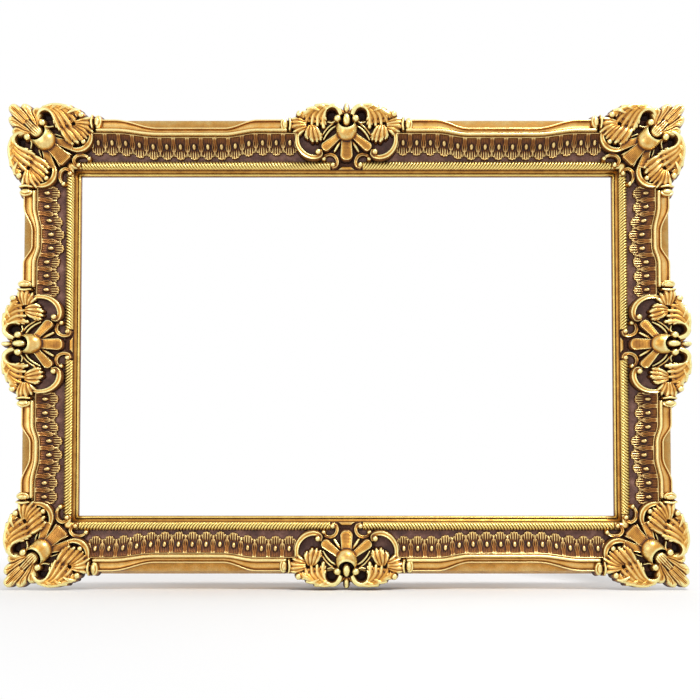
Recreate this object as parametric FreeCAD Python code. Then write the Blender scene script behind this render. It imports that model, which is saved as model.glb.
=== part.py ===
# Ornate swept frame: mitred wooden rails that carry applied gilded castings and mouldings.
#
# Each side is drawn in its own plan: x runs along the side from its middle, y is the distance
# outward from the sight edge, and z is the height above the wall. stand() turns a plan shape up,
# so that height points to -Y, and on_side() or on_corner() puts it in its place.
# A corner's plan starts at the sight corner: x and y are the distances outward from the two edges.
# The frame's origin is the middle of the opening on the plane of the rails' backs.
# +X is to the right, +Z is up, and the front faces -Y.

import FreeCAD, Part
import math
import os

V = FreeCAD.Vector

# Opening and base rails
sight_width = 904.0
sight_height = 577.0
rail_width = 98.0
rebate_width = 8.0
rebate_depth = 8.0
lip_thickness = 4.0
outer_foot_height = 5.0
outer_slope_run = 7.5
plateau_height = 33.0
plateau_width = 18.5
recess_height = 21.0
gadroon_seat_height = 18.0

# Sight slip
slip_width = 9.6
slip_height = 7.5
slip_lip_height = 3.6
slip_bead_width = 4.2
slip_bead_height = 1.6
slip_groove_width = 0.9
slip_groove_depth = 0.8

# Gadroon moulding
gadroon_width = 14.2
gadroon_height = 10.5
gadroon_corner_inset = 3.0

# Leaf frieze
frieze_width = 34.0
frieze_tip_height = 4.5
frieze_border_height = 39.0
frieze_cove_depth = 2.2
frieze_corner_inset = 21.0
bead_length = 11.0
bead_width = 7.0
bead_height = 3.0
bead_inset = 15.0
tip_thickness = 2.0
tip_gap = 2.0
units_on_long_run = 15
units_on_short_run = 8

# Swept rail
swept_inner = 68.0
swept_outer = 90.0
inner_sweep = 7.0
outer_sweep = 14.0
inner_bead_width = 6.0
inner_bead_side_height = 44.0
inner_bead_height = 50.0
outer_bead_width = 3.0
outer_bead_side_height = 43.0
outer_bead_height = 45.5
hollow_height = 40.5
swept_corner_inset = 36.0
# where the sweep starts, is full, starts back and ends, along a run from its corner end
long_sweep_shares = (0.08, 0.32, 0.68, 0.86)
short_sweep_shares = (0.14, 0.42, 0.58, 0.78)
curve_steps = 5

# Castings: sizes that their tables of shares follow
long_side_half_casting = 111.0
long_side_casting_reach = 117.0
short_side_half_casting = 106.0
short_side_casting_reach = 124.0
corner_reach = 116.0
casting_back = 24.0
# where the three kinds of run end against a centre casting, along its half length
swept_end_share = 0.955
frieze_end_share = 0.757
gadroon_end_share = 0.243
ground_thickness = 3.5
boss_radius = 17.4
boss_height = 59.0
notch_radius = 10.0
notch_floor = 49.0
egg_length = 21.0
egg_width = 12.0
egg_top = 57.5
bulb_length = 27.0
bulb_width = 15.0
ball_radius = 5.6
ball_top = 55.5
eye_radius = 8.5
eye_floor = 38.0
arm_top = 52.5
arm_shoulder = 39.0
arm_inset = 8.0
leaf_top = 46.5
leaf_shoulder = 38.0
sprig_top = 50.0
sprig_shoulder = 42.0
palmette_top = 50.0
palmette_shoulder = 36.0
leaf_inset = 5.0
knob_width = 15.0
knob_length = 22.0
knob_top = 52.0
bud_width = 11.0
bud_length = 17.0
bud_top = 46.0
curl_radius = 4.6
curl_top = 52.0
petal_root_height = 50.0
petal_tip_height = 31.0
petal_tip_radius = 10.0
side_petal_tip_radius = 7.6
side_petal_angle = 56.0
corner_side_petal_angle = 42.0
side_petal_length = 40.0
long_scroll_radius = 28.8
corner_scroll_radius = 22.4
long_scroll_width = 6.4
long_scroll_top = 42.0
volute_radius = 6.4
volute_top = 43.0
small_scroll_radius = 12.9
small_scroll_width = 4.6
small_scroll_top = 30.5
small_ball_radius = 4.2
small_ball_top = 32.5

# Hanging hardware on the side rails
strap_width = 18.0
strap_length = 46.0
strap_thickness = 1.2
knuckle_radius = 3.1
knuckle_length = 12.0
ring_wire_radius = 1.5
ring_running_clearance = 0.1
ring_half_width = 10.0
ring_leg_length = 7.0
ring_lean_degrees = 4.5
hanger_above_centre = 95.0
hanger_from_sight = 52.0
screw_pitch = 24.0
screw_end_margin = 11.0
screw_head_radius = 3.3
screw_head_height = 1.5
screw_shank_radius = 1.6
screw_length = 16.0
screw_hole_clearance = 0.15

# Turn buttons that hold the picture in the rebate
button_length = 36.0
button_width = 12.0
button_thickness = 1.2
button_from_rebate = 14.0
button_lift = 0.3
button_screw_length = 14.0
long_side_button_share = 0.5

# Mitre V-nails and wall bumpers
nail_leg = 7.0
nail_thickness = 0.8
nail_depth = 10.0
nails_per_corner = 3
nail_first = 22.0
bumper_radius = 8.0
bumper_thickness = 3.0
bumper_from_sight = 70.0

glue_line = 0.05
overrun = 60.0
diagonal_turn = -45.0

half_width = sight_width / 2
half_height = sight_height / 2
lip_front = rebate_depth + lip_thickness
gadroon_start = slip_width + glue_line
gadroon_end = gadroon_start + gadroon_width
gadroon_foot_height = gadroon_height - gadroon_width / 2
recess_start = gadroon_end + glue_line
plateau_outer = rail_width - outer_slope_run
plateau_inner = plateau_outer - plateau_width


def base_height(distance):
    """Height of the rail's front at a distance outward from the sight edge, past the gadroon."""
    if distance >= plateau_inner:
        return plateau_height
    rise = (plateau_height - recess_height) / (plateau_inner - recess_start)
    return recess_height + rise * (distance - recess_start)


# Plan helpers

def face_of(points):
    """A flat face from a closed list of corners."""
    return Part.Face(Part.makePolygon([V(*p) for p in points] + [V(*points[0])]))


def section(points, along=0.0):
    """A profile, given as (distance, height) corners, standing across the side."""
    return face_of([(along, distance, height) for distance, height in points])


def prism(points, low, high):
    """A plan outline raised from one height to another."""
    return face_of([(x, y, low) for x, y in points]).extrude(V(0, 0, high - low))


def bar(points, start, end):
    """A profile carried straight along the side."""
    return section(points, start).extrude(V(end - start, 0, 0))


def mound(outline, low, shoulder, top, inset):
    """An outline raised to its shoulder, then drawn in towards its middle up to the top."""
    cx = sum(x for x, y in outline) / len(outline)
    cy = sum(y for x, y in outline) / len(outline)
    drawn = []
    for x, y in outline:
        reach = math.hypot(x - cx, y - cy)
        keep = max(reach - inset, inset) / max(reach, inset)
        drawn.append((cx + (x - cx) * keep, cy + (y - cy) * keep))
    foot = prism(outline, low, shoulder)
    rings = []
    for ring, height in ((outline, shoulder), (drawn, top)):
        corners = [V(x, y, height) for x, y in ring]
        rings.append(Part.makePolygon(corners + corners[:1]))
    return foot.fuse(Part.makeLoft(rings, True, True))


def ball(x, y, top, radius, low):
    """A ball on a round post that reaches down to the given height."""
    post = Part.makeCylinder(radius, top - radius - low, V(x, y, low))
    return post.fuse(Part.makeSphere(radius, V(x, y, top - radius)))


def egg(x, y, top, width, length, turn, low):
    """An egg on an oval post, its long axis turned from the y axis."""
    radius = width / 2
    round_one = ball(0, 0, top, radius, low)
    stretch = FreeCAD.Matrix()
    stretch.A22 = length / width
    oval = round_one.transformGeometry(stretch)
    oval.rotate(V(0, 0, 0), V(0, 0, 1), turn)
    oval.translate(V(x, y, 0))
    return oval


def arc_band(x, y, radius, width, start, end, low, top):
    """A flat-sided band that follows an arc in plan, angles in degrees from the x axis."""
    turn = end - start
    height = top - low
    outside = Part.makeCylinder(radius + width / 2, height, V(0, 0, low), V(0, 0, 1), turn)
    inside = Part.makeCylinder(radius - width / 2, height, V(0, 0, low), V(0, 0, 1), turn)
    band = outside.cut(inside)
    band.rotate(V(0, 0, 0), V(0, 0, 1), start)
    band.translate(V(x, y, 0))
    return band


def petal(length, root_width, tip_radius, low):
    """A shell petal along -y from the origin: it falls from its root to a rounded tip."""
    body_length = length - tip_radius
    outline = Part.Wire(
        [
            Part.LineSegment(V(root_width / 2, 0, low), V(-root_width / 2, 0, low)).toShape(),
            Part.LineSegment(V(-root_width / 2, 0, low), V(-tip_radius, -body_length, low)).toShape(),
            Part.Arc(
                V(-tip_radius, -body_length, low), V(0, -length, low), V(tip_radius, -body_length, low)
            ).toShape(),
            Part.LineSegment(V(tip_radius, -body_length, low), V(root_width / 2, 0, low)).toShape(),
        ]
    )
    block = Part.Face(outline).extrude(V(0, 0, petal_root_height - low))
    above = [(0, petal_root_height), (-length, petal_tip_height), (-length, petal_root_height)]
    wedge = face_of([(-overrun, y, z) for y, z in above]).extrude(V(2 * overrun, 0, 0))
    return block.cut(wedge)


def at_shares(table, across, out):
    """Places from shares of a casting's two sizes."""
    return [(x * across, y * out) for x, y in table]


def swapped(points):
    """The same outline on the other side of the corner's diagonal."""
    return [(y, x) for x, y in reversed(points)]


# Placing

side_turns = {"top": 0, "right": 90, "bottom": 180, "left": 270}
corner_turns = {"top_right": 0, "bottom_right": 90, "bottom_left": 180, "top_left": 270}
side_steps = {
    "top": V(0, 0, half_height),
    "right": V(half_width, 0, 0),
    "bottom": V(0, 0, -half_height),
    "left": V(-half_width, 0, 0),
}
side_halves = {"top": half_width, "right": half_height, "bottom": half_width, "left": half_height}


def stand(shape):
    """Turn a plan shape so that its height points away from the wall."""
    turned = shape.copy()
    turned.rotate(V(0, 0, 0), V(1, 0, 0), 90)
    return turned


def on_side(shape, side):
    """Put a plan shape on its side of the frame."""
    placed = stand(shape)
    placed.rotate(V(0, 0, 0), V(0, 1, 0), side_turns[side])
    placed.translate(side_steps[side])
    return placed


def on_corner(shape, corner):
    """Put a corner's plan shape at its corner of the opening."""
    placed = stand(shape)
    placed.rotate(V(0, 0, 0), V(0, 1, 0), corner_turns[corner])
    up = half_height if corner.startswith("top") else -half_height
    across = half_width if corner.endswith("right") else -half_width
    placed.translate(V(across, 0, up))
    return placed


def mitred(points, half):
    """A profile carried the whole length of a side and cut at both mitres."""
    far = half + rail_width + overrun
    whole = bar(points, -far, far)
    for way in (-1, 1):
        beyond = [
            (way * (half - overrun), -overrun),
            (way * (far + overrun), -overrun),
            (way * (far + overrun), far + overrun - half),
        ]
        whole = whole.cut(prism(beyond, -overrun, plateau_height + overrun))
    return whole


# Base rails, slips and fasteners

rail_profile = [
    (rebate_width, 0.0),
    (rail_width, 0.0),
    (rail_width, outer_foot_height),
    (plateau_outer, plateau_height),
    (plateau_inner, plateau_height),
    (recess_start, recess_height),
    (recess_start, gadroon_seat_height),
    (slip_width, gadroon_seat_height),
    (slip_width, lip_front),
    (0.0, lip_front),
    (0.0, rebate_depth),
    (rebate_width, rebate_depth),
]


def slip_bar(half):
    """Sight slip: lip, bead, groove and the plain band that rises to the gadroon."""
    bead_foot = lip_front + slip_lip_height
    groove_start = slip_bead_width
    groove_end = groove_start + slip_groove_width
    band_foot = bead_foot + slip_groove_depth
    profile = [
        (0.0, lip_front),
        (slip_width, lip_front),
        (slip_width, lip_front + slip_height),
        (groove_end, band_foot),
        (groove_end, bead_foot - slip_groove_depth),
        (groove_start, bead_foot - slip_groove_depth),
        (groove_start, bead_foot),
        (groove_start / 2, bead_foot + slip_bead_height),
        (0.0, bead_foot),
    ]
    return mitred(profile, half)


def nail_places():
    """Distances from the sight edge at which the V-nails cross a mitre."""
    last = rail_width - nail_first / 2
    step = (last - nail_first) / (nails_per_corner - 1)
    return [nail_first + step * n for n in range(nails_per_corner)]


def corner_nails():
    """V-nails of one corner: each opens outward along the mitre, half in either rail."""
    nails = []
    for place in nail_places():
        outline = [
            (place, place),
            (place, place - nail_leg),
            (place - nail_thickness, place - nail_leg),
            (place - nail_thickness, place - nail_thickness),
            (place - nail_leg, place - nail_thickness),
            (place - nail_leg, place),
        ]
        nails.append(prism(outline, 0.0, nail_depth))
    return nails


# Runs between a corner casting and a centre casting

def sweep(share, shares):
    """How far the run has swept inward, from 0 at its ends to 1 along its middle."""
    start, full, back, end = shares
    if share <= start or share >= end:
        return 0.0
    if full <= share <= back:
        return 1.0
    part = (share - start) / (full - start) if share < full else (end - share) / (end - back)
    return (1 - math.cos(math.pi * part)) / 2


def run_stations(shares):
    """Shares of a run at which its section is drawn."""
    start, full, back, end = shares
    rising = [start + (full - start) * n / curve_steps for n in range(curve_steps + 1)]
    falling = [back + (end - back) * n / curve_steps for n in range(curve_steps + 1)]
    return [0.0] + rising + falling + [1.0]


def swept_wire(along, swept):
    """Section of the swept rail: inner bead, hollow, outer bead and the flank to the rail's edge."""
    inner = swept_inner - inner_sweep * swept
    outer = swept_outer - outer_sweep * swept
    bead_end = inner + inner_bead_width
    hollow_end = outer - outer_bead_width
    corners = [
        V(along, inner, base_height(inner)),
        V(along, inner, inner_bead_side_height),
        V(along, bead_end, inner_bead_side_height),
        V(along, hollow_end, outer_bead_side_height),
        V(along, outer, outer_bead_side_height),
        V(along, plateau_outer, plateau_height),
        V(along, plateau_inner, plateau_height),
    ]
    crests = {
        1: V(along, (inner + bead_end) / 2, inner_bead_height),
        2: V(along, (bead_end + hollow_end) / 2, hollow_height),
        3: V(along, (hollow_end + outer) / 2, outer_bead_height),
    }
    edges = []
    for n, corner in enumerate(corners):
        after = corners[(n + 1) % len(corners)]
        if n in crests:
            edges.append(Part.Arc(corner, crests[n], after).toShape())
        else:
            edges.append(Part.LineSegment(corner, after).toShape())
    return Part.Wire(edges)


def frieze_wire(along, swept):
    """Section of the frieze: a cove that rises from the leaf tips to the border by the swept rail."""
    border = swept_inner - inner_sweep * swept - glue_line
    tips = border - frieze_width
    low = V(along, tips, base_height(tips))
    tip = V(along, tips, base_height(tips) + frieze_tip_height)
    top = V(along, border, frieze_border_height)
    foot = V(along, border, base_height(border))
    middle = V(along, (tips + border) / 2, (tip.z + top.z) / 2 - frieze_cove_depth)
    edges = [
        Part.LineSegment(low, tip).toShape(),
        Part.Arc(tip, middle, top).toShape(),
        Part.LineSegment(top, foot).toShape(),
        Part.LineSegment(foot, low).toShape(),
    ]
    return Part.Wire(edges)


def loft_run(wire_at, first, last, first_full, last_full, shares):
    """Carry a section from one end of a run to the other, swept between the swept rail's ends."""
    places = [first]
    for share in run_stations(shares):
        place = first_full + (last_full - first_full) * share
        if min(first, last) < place < max(first, last):
            places.append(place)
    places.append(last)
    wires = []
    for place in places:
        share = (place - first_full) / (last_full - first_full)
        wires.append(wire_at(place, sweep(share, shares)))
    return Part.makeLoft(wires, True, True)


def frieze_surface(distance, swept):
    """Height of the frieze's cove at a distance from the sight edge, taken straight."""
    border = swept_inner - inner_sweep * swept
    share = (border - distance) / frieze_width
    tips = border - frieze_width
    tip_height = base_height(tips) + frieze_tip_height
    straight = frieze_border_height + (tip_height - frieze_border_height) * share
    return straight - 4 * frieze_cove_depth * share * (1 - share)


def frieze_run(half, centre_half, count, shares):
    """Leaf frieze of one run: the cove, and for each unit an oval bead and a rounded leaf tip.

    The beads and tips start in the rail, so that the rail is cut from the whole at the end."""
    corner_end = half - frieze_corner_inset
    centre_end = centre_half * frieze_end_share
    run_start, run_end = half - swept_corner_inset, centre_half * swept_end_share
    body = loft_run(frieze_wire, corner_end, centre_end, run_start, run_end, shares)
    pitch = (corner_end - centre_end) / count
    extras = []
    for n in range(count):
        place = centre_end + pitch * (n + 0.5)
        swept = sweep((place - run_start) / (run_end - run_start), shares)
        middle = swept_inner - inner_sweep * swept - bead_inset
        surface = frieze_surface(middle, swept)
        low = base_height(middle)
        extras.append(egg(place, middle, surface + bead_height, bead_width, bead_length, 0, low))
        tips = swept_inner - inner_sweep * swept - frieze_width
        reach = pitch / 2 - tip_gap
        foot = V(place, tips + reach, base_height(tips + reach))
        extras.append(Part.makeCylinder(reach, frieze_tip_height + tip_thickness, foot))
    rail = bar(rail_profile, centre_end - overrun, corner_end + overrun)
    return body.multiFuse(extras).cut(rail).removeSplitter()


def gadroon_run(half, centre_half):
    """Gadroon moulding of one run: a half round on a low foot."""
    foot_top = gadroon_seat_height + gadroon_foot_height
    low_in = V(0, gadroon_start, gadroon_seat_height)
    low_out = V(0, gadroon_end, gadroon_seat_height)
    top_in = V(0, gadroon_start, foot_top)
    top_out = V(0, gadroon_end, foot_top)
    crest = V(0, (gadroon_start + gadroon_end) / 2, gadroon_seat_height + gadroon_height)
    edges = [
        Part.LineSegment(low_in, top_in).toShape(),
        Part.Arc(top_in, crest, top_out).toShape(),
        Part.LineSegment(top_out, low_out).toShape(),
        Part.LineSegment(low_out, low_in).toShape(),
    ]
    centre_end = centre_half * gadroon_end_share
    length = half - gadroon_corner_inset - centre_end
    run = Part.Face(Part.Wire(edges)).extrude(V(length, 0, 0))
    run.translate(V(centre_end, 0, 0))
    return run


def swept_run(half, centre_half, shares):
    """Swept rail of one run."""
    corner_end = half - swept_corner_inset
    centre_end = centre_half * swept_end_share
    return loft_run(swept_wire, corner_end, centre_end, corner_end, centre_end, shares)


def end_stubs(swept_end, frieze_end, gadroon_at, way):
    """What a casting has to clear where the three runs end, carried on past the casting."""
    stubs = []
    for wire, start in ((swept_wire(0, 0), swept_end), (frieze_wire(0, 0), frieze_end)):
        stub = Part.Face(wire).extrude(V(way * overrun, 0, 0))
        stub.translate(V(start, 0, 0))
        stubs.append(stub)
    gadroon_block = [
        (gadroon_start, gadroon_seat_height),
        (recess_start, gadroon_seat_height),
        (recess_start, gadroon_seat_height + gadroon_height),
        (gadroon_start, gadroon_seat_height + gadroon_height),
    ]
    stubs.append(bar(gadroon_block, gadroon_at, gadroon_at + way * overrun))
    return stubs


# Ground of a casting: a skin that lies on the rail between the ends of the runs

outer_ground = [
    (swept_inner, base_height(swept_inner)),
    (plateau_inner, plateau_height),
    (plateau_outer, plateau_height),
    (plateau_outer, plateau_height + ground_thickness),
    (swept_inner, plateau_height + ground_thickness),
]
inner_ground = [
    (recess_start, recess_height),
    (swept_inner, base_height(swept_inner)),
    (swept_inner, plateau_height + ground_thickness),
    (recess_start, recess_height + ground_thickness),
]
lip_ground = [
    (gadroon_start, gadroon_seat_height),
    (recess_start, gadroon_seat_height),
    (recess_start, recess_height + ground_thickness),
    (gadroon_start, gadroon_seat_height + ground_thickness),
]

# Centre casting, right half: shares of its half length and of its reach
arm_shares = [
    (0.04, 0.80), (0.03, 0.93), (0.07, 0.93), (0.15, 0.965), (0.27, 0.99), (0.38, 0.965), (0.48, 0.91),
    (0.59, 0.855), (0.67, 0.845), (0.73, 0.885), (0.785, 0.86), (0.785, 0.79), (0.71, 0.735),
    (0.62, 0.69), (0.56, 0.72), (0.50, 0.68), (0.44, 0.71), (0.36, 0.635), (0.30, 0.70),
    (0.22, 0.76), (0.17, 0.72),
]
inner_leaf_shares = [
    (0.39, 0.655), (0.46, 0.68), (0.56, 0.665), (0.64, 0.63), (0.62, 0.55), (0.58, 0.47),
    (0.53, 0.42), (0.49, 0.50), (0.43, 0.45), (0.40, 0.55),
]
sprig_shares = [
    (0.66, 0.80), (0.74, 0.815), (0.82, 0.79), (0.90, 0.77), (0.97, 0.75), (0.97, 0.635),
    (0.88, 0.615), (0.80, 0.57), (0.72, 0.60), (0.66, 0.65),
]
eye_share = (0.225, 0.835)
ball_share = (0.137, 0.765)
boss_share = 0.594
notch_share = 0.705
egg_share = 0.735
bud_share = 0.925
arm_curl_share = (0.735, 0.84)
knob_share = (0.935, 0.690)
inner_curl_share = (0.575, 0.415)
long_scroll_share = (0.492, 0.473)
long_scroll_span = (-90.0, 14.0)
volute_share = (0.44, 0.30)
small_scroll_share = (0.255, 0.186)
small_scroll_span = (25.0, 232.0)

# Corner casting, the half beside the level side: shares of corner_reach
corner_arm_shares = [
    (0.50, 0.70), (0.58, 0.86), (0.55, 0.925), (0.43, 0.975), (0.29, 0.985), (0.14, 0.95),
    (0.02, 0.895), (-0.07, 0.81), (-0.02, 0.76), (0.05, 0.745), (0.11, 0.67), (0.17, 0.70),
    (0.24, 0.62), (0.30, 0.64), (0.37, 0.60), (0.42, 0.66),
]
corner_leaf_shares = [
    (0.22, 0.64), (0.13, 0.65), (0.04, 0.63), (-0.05, 0.58), (-0.12, 0.49), (-0.11, 0.43),
    (-0.03, 0.40), (0.06, 0.42), (0.15, 0.48), (0.24, 0.55),
]
corner_sprig_shares = [
    (-0.02, 0.79), (-0.11, 0.81), (-0.20, 0.80), (-0.30, 0.80), (-0.31, 0.66), (-0.21, 0.60),
    (-0.10, 0.62), (-0.02, 0.68),
]
half_palmette_shares = [
    (1.0, 1.0), (0.93, 1.01), (0.87, 0.93), (0.76, 1.0), (0.70, 0.97), (0.70, 0.90),
    (0.64, 0.94), (0.585, 0.90), (0.60, 0.80), (0.56, 0.68),
]
corner_eye_share = (0.453, 0.78)
corner_ball_share = (0.50, 0.706)
corner_boss_share = 0.46
corner_notch_share = 0.56
bulb_share = 0.60
corner_curl_share = (-0.085, 0.455)
corner_knob_share = (-0.285, 0.735)
corner_scroll_share = (0.0035, 0.50)
corner_scroll_span = (160.0, 280.0)
corner_small_share = (-0.035, 0.207)
corner_small_span = (-52.0, 155.0)


def boss_with_notch(x, y, notch_x, notch_y):
    """Crescent boss: a ball with a round notch in it."""
    round_boss = ball(x, y, boss_height, boss_radius, casting_back)
    notch = Part.makeCylinder(notch_radius, overrun, V(notch_x, notch_y, notch_floor))
    return round_boss.cut(notch)


def scroll_with_balls(place, span):
    """Small C-scroll that ends a gadroon run, a ball at either end."""
    x, y = place
    start, end = span
    low = gadroon_seat_height
    parts = [arc_band(x, y, small_scroll_radius, small_scroll_width, start, end, low, small_scroll_top)]
    for angle in span:
        bx = x + small_scroll_radius * math.cos(math.radians(angle))
        by = y + small_scroll_radius * math.sin(math.radians(angle))
        parts.append(ball(bx, by, small_ball_top, small_ball_radius, low))
    return parts


def centre_half(across, out):
    """Everything on the right-hand half of a centre casting of this half length and reach."""
    low = casting_back
    arm = mound(at_shares(arm_shares, across, out), low, arm_shoulder, arm_top, arm_inset)
    (eye_x, eye_y), = at_shares([eye_share], across, out)
    eye = Part.makeCylinder(eye_radius, overrun, V(eye_x, eye_y, eye_floor))
    parts = [arm.cut(eye)]
    leaf = at_shares(inner_leaf_shares, across, out)
    parts.append(mound(leaf, low, leaf_shoulder, leaf_top, leaf_inset))
    sprig = at_shares(sprig_shares, across, out)
    parts.append(mound(sprig, low, sprig_shoulder, sprig_top, leaf_inset))
    for share, top, radius in (
        (ball_share, ball_top, ball_radius),
        (arm_curl_share, curl_top, curl_radius),
        (inner_curl_share, volute_top, curl_radius),
        (volute_share, volute_top, volute_radius),
    ):
        (x, y), = at_shares([share], across, out)
        parts.append(ball(x, y, top, radius, low))
    (x, y), = at_shares([knob_share], across, out)
    parts.append(egg(x, y, knob_top, knob_width, knob_length, 0, low))
    (x, y), = at_shares([long_scroll_share], across, out)
    start, end = long_scroll_span
    band = arc_band(x, y, long_scroll_radius, long_scroll_width, start, end, low, long_scroll_top)
    parts.append(band)
    (place,) = at_shares([small_scroll_share], across, out)
    parts += scroll_with_balls(place, small_scroll_span)
    side = petal(side_petal_length, boss_radius / 2, side_petal_tip_radius, low)
    side.rotate(V(0, 0, 0), V(0, 0, 1), side_petal_angle)
    side.translate(V(0, boss_share * out, 0))
    parts.append(side)
    return parts


def centre_casting(across, out):
    """Centre cartouche: two mirrored halves round the boss, egg, bud and middle petal."""
    half = centre_half(across, out)
    parts = list(half)
    for piece in half:
        parts.append(piece.mirror(V(0, 0, 0), V(1, 0, 0)))
    boss_y = boss_share * out
    parts.append(boss_with_notch(0, boss_y, 0, notch_share * out))
    parts.append(egg(0, egg_share * out, egg_top, egg_width, egg_length, 0, casting_back))
    parts.append(egg(0, bud_share * out, bud_top, bud_width, bud_length, 0, casting_back))
    middle = petal(boss_y - recess_start - glue_line, boss_radius, petal_tip_radius, casting_back)
    middle.translate(V(0, boss_y, 0))
    parts.append(middle)
    swept_end = across * swept_end_share - glue_line
    frieze_end = across * frieze_end_share - glue_line
    gadroon_stop = across * gadroon_end_share - glue_line
    for profile, end in (
        (outer_ground, swept_end),
        (inner_ground, frieze_end),
        (lip_ground, gadroon_stop),
    ):
        parts.append(bar(profile, -end, end))
    whole = parts[0].multiFuse(parts[1:])
    far = overrun + across
    cutters = [bar(rail_profile, -far, far), slip_block(-far, far)]
    for way in (-1, 1):
        cutters += end_stubs(way * swept_end, way * frieze_end, way * gadroon_stop, way)
    return whole.cut(cutters)


def slip_block(start, end):
    """The slip's space, which the castings keep clear of."""
    top = lip_front + slip_height
    corners = [(0.0, lip_front), (gadroon_start, lip_front), (gadroon_start, top), (0.0, top)]
    return bar(corners, start, end)


def corner_ground(profile, arm):
    """A skin along one arm of a corner, from its end to the mitre."""
    start = [V(-arm, distance, height) for distance, height in profile]
    mitre = [V(distance, distance, height) for distance, height in profile]
    rings = [Part.makePolygon(ring + ring[:1]) for ring in (start, mitre)]
    return Part.makeLoft(rings, True, True)


def across_diagonal(shape):
    """The mirror image of a corner's shape in the corner's diagonal."""
    return shape.mirror(V(0, 0, 0), V(1, -1, 0))


def corner_half():
    """Everything on the half of a corner casting that lies along the level side."""
    out = corner_reach
    low = casting_back
    arm = mound(at_shares(corner_arm_shares, out, out), low, arm_shoulder, arm_top, arm_inset)
    (eye_x, eye_y), = at_shares([corner_eye_share], out, out)
    eye = Part.makeCylinder(eye_radius, overrun, V(eye_x, eye_y, eye_floor))
    parts = [arm.cut(eye)]
    leaf = at_shares(corner_leaf_shares, out, out)
    parts.append(mound(leaf, low, leaf_shoulder, leaf_top, leaf_inset))
    sprig = at_shares(corner_sprig_shares, out, out)
    parts.append(mound(sprig, low, sprig_shoulder, sprig_top, leaf_inset))
    for share, top, radius in (
        (corner_ball_share, ball_top, ball_radius),
        (corner_curl_share, volute_top, curl_radius),
    ):
        (x, y), = at_shares([share], out, out)
        parts.append(ball(x, y, top, radius, low))
    (x, y), = at_shares([corner_knob_share], out, out)
    parts.append(egg(x, y, knob_top, knob_width, knob_length, 0, low))
    (x, y), = at_shares([corner_scroll_share], out, out)
    start, end = corner_scroll_span
    band = arc_band(x, y, corner_scroll_radius, long_scroll_width, start, end, low, long_scroll_top)
    parts.append(band)
    (place,) = at_shares([corner_small_share], out, out)
    parts += scroll_with_balls(place, corner_small_span)
    side = petal(side_petal_length, boss_radius / 2, side_petal_tip_radius, low)
    side.rotate(V(0, 0, 0), V(0, 0, 1), diagonal_turn - corner_side_petal_angle)
    side.translate(V(corner_boss_share * out, corner_boss_share * out, 0))
    parts.append(side)
    parts.append(corner_ground(outer_ground, swept_corner_inset - glue_line))
    parts.append(corner_ground(inner_ground, frieze_corner_inset - glue_line))
    parts.append(corner_ground(lip_ground, gadroon_corner_inset - glue_line))
    return parts


def corner_casting():
    """Corner cartouche: two mirrored halves round the palmette, bulb, boss and middle petal."""
    half = corner_half()
    parts = list(half)
    for piece in half:
        parts.append(across_diagonal(piece))
    out = corner_reach
    half_leaf = at_shares(half_palmette_shares, out, out)
    palmette = half_leaf + swapped(half_leaf)[:-1]
    parts.append(mound(palmette, casting_back, palmette_shoulder, palmette_top, leaf_inset))
    boss = corner_boss_share * out
    notch = corner_notch_share * out
    parts.append(boss_with_notch(boss, boss, notch, notch))
    bulb = bulb_share * out
    parts.append(egg(bulb, bulb, egg_top, bulb_width, bulb_length, diagonal_turn, casting_back))
    reach = math.sqrt(2) * (boss - recess_start)
    middle = petal(reach, boss_radius, petal_tip_radius, casting_back)
    middle.rotate(V(0, 0, 0), V(0, 0, 1), diagonal_turn)
    middle.translate(V(boss, boss, 0))
    parts.append(middle)
    whole = parts[0].multiFuse(parts[1:])
    far = 2 * overrun + rail_width
    start = [V(-far, distance, height) for distance, height in rail_profile]
    mitre = [V(distance, distance, height) for distance, height in rail_profile]
    rail = Part.makeLoft(
        [Part.makePolygon(ring + ring[:1]) for ring in (start, mitre)], True, True
    )
    cutters = [rail, slip_block(-far, far)]
    cutters += end_stubs(
        -(swept_corner_inset - glue_line),
        -(frieze_corner_inset - glue_line),
        -(gadroon_corner_inset - glue_line),
        -1,
    )
    cutters += [across_diagonal(cutter) for cutter in cutters]
    return whole.cut(cutters)


# Hardware on the back, drawn with z as the height above the wall, so it lies at z below 0

def screw(length):
    """A pan-head screw at the origin: the head's underside at z 0, the shank going up."""
    head = Part.makeCylinder(screw_head_radius, screw_head_height, V(0, 0, -screw_head_height))
    return head.fuse(Part.makeCylinder(screw_shank_radius, length, V(0, 0, 0)))


def shank_hole(x, y, length):
    """The hole that a screw's shank takes in the rail."""
    radius = screw_shank_radius + glue_line
    return Part.makeCylinder(radius, length + glue_line, V(x, y, 0))


def strap_screw_places():
    """The strap's two screws, as distances below the ring's axis."""
    return [screw_end_margin, screw_end_margin + screw_pitch]


def hanger_strap():
    """A strap that lies on the rail's back, its top end curled round the ring's bar.

    Drawn with the ring's axis along x through the origin, y up the frame and z to the front."""
    seat = knuckle_radius
    strap = Part.makeBox(
        strap_width, strap_length, strap_thickness, V(-strap_width / 2, -strap_length, seat - strap_thickness)
    )
    half = knuckle_length / 2
    knuckle = Part.makeCylinder(knuckle_radius, knuckle_length, V(-half, 0, 0), V(1, 0, 0))
    bore_radius = ring_wire_radius + ring_running_clearance
    bore = Part.makeCylinder(bore_radius, knuckle_length, V(-half, 0, 0), V(1, 0, 0))
    whole = strap.fuse(knuckle).cut(bore)
    for place in strap_screw_places():
        radius = screw_shank_radius + screw_hole_clearance
        whole = whole.cut(Part.makeCylinder(radius, overrun, V(0, -place, -overrun / 2)))
    return whole


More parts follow.
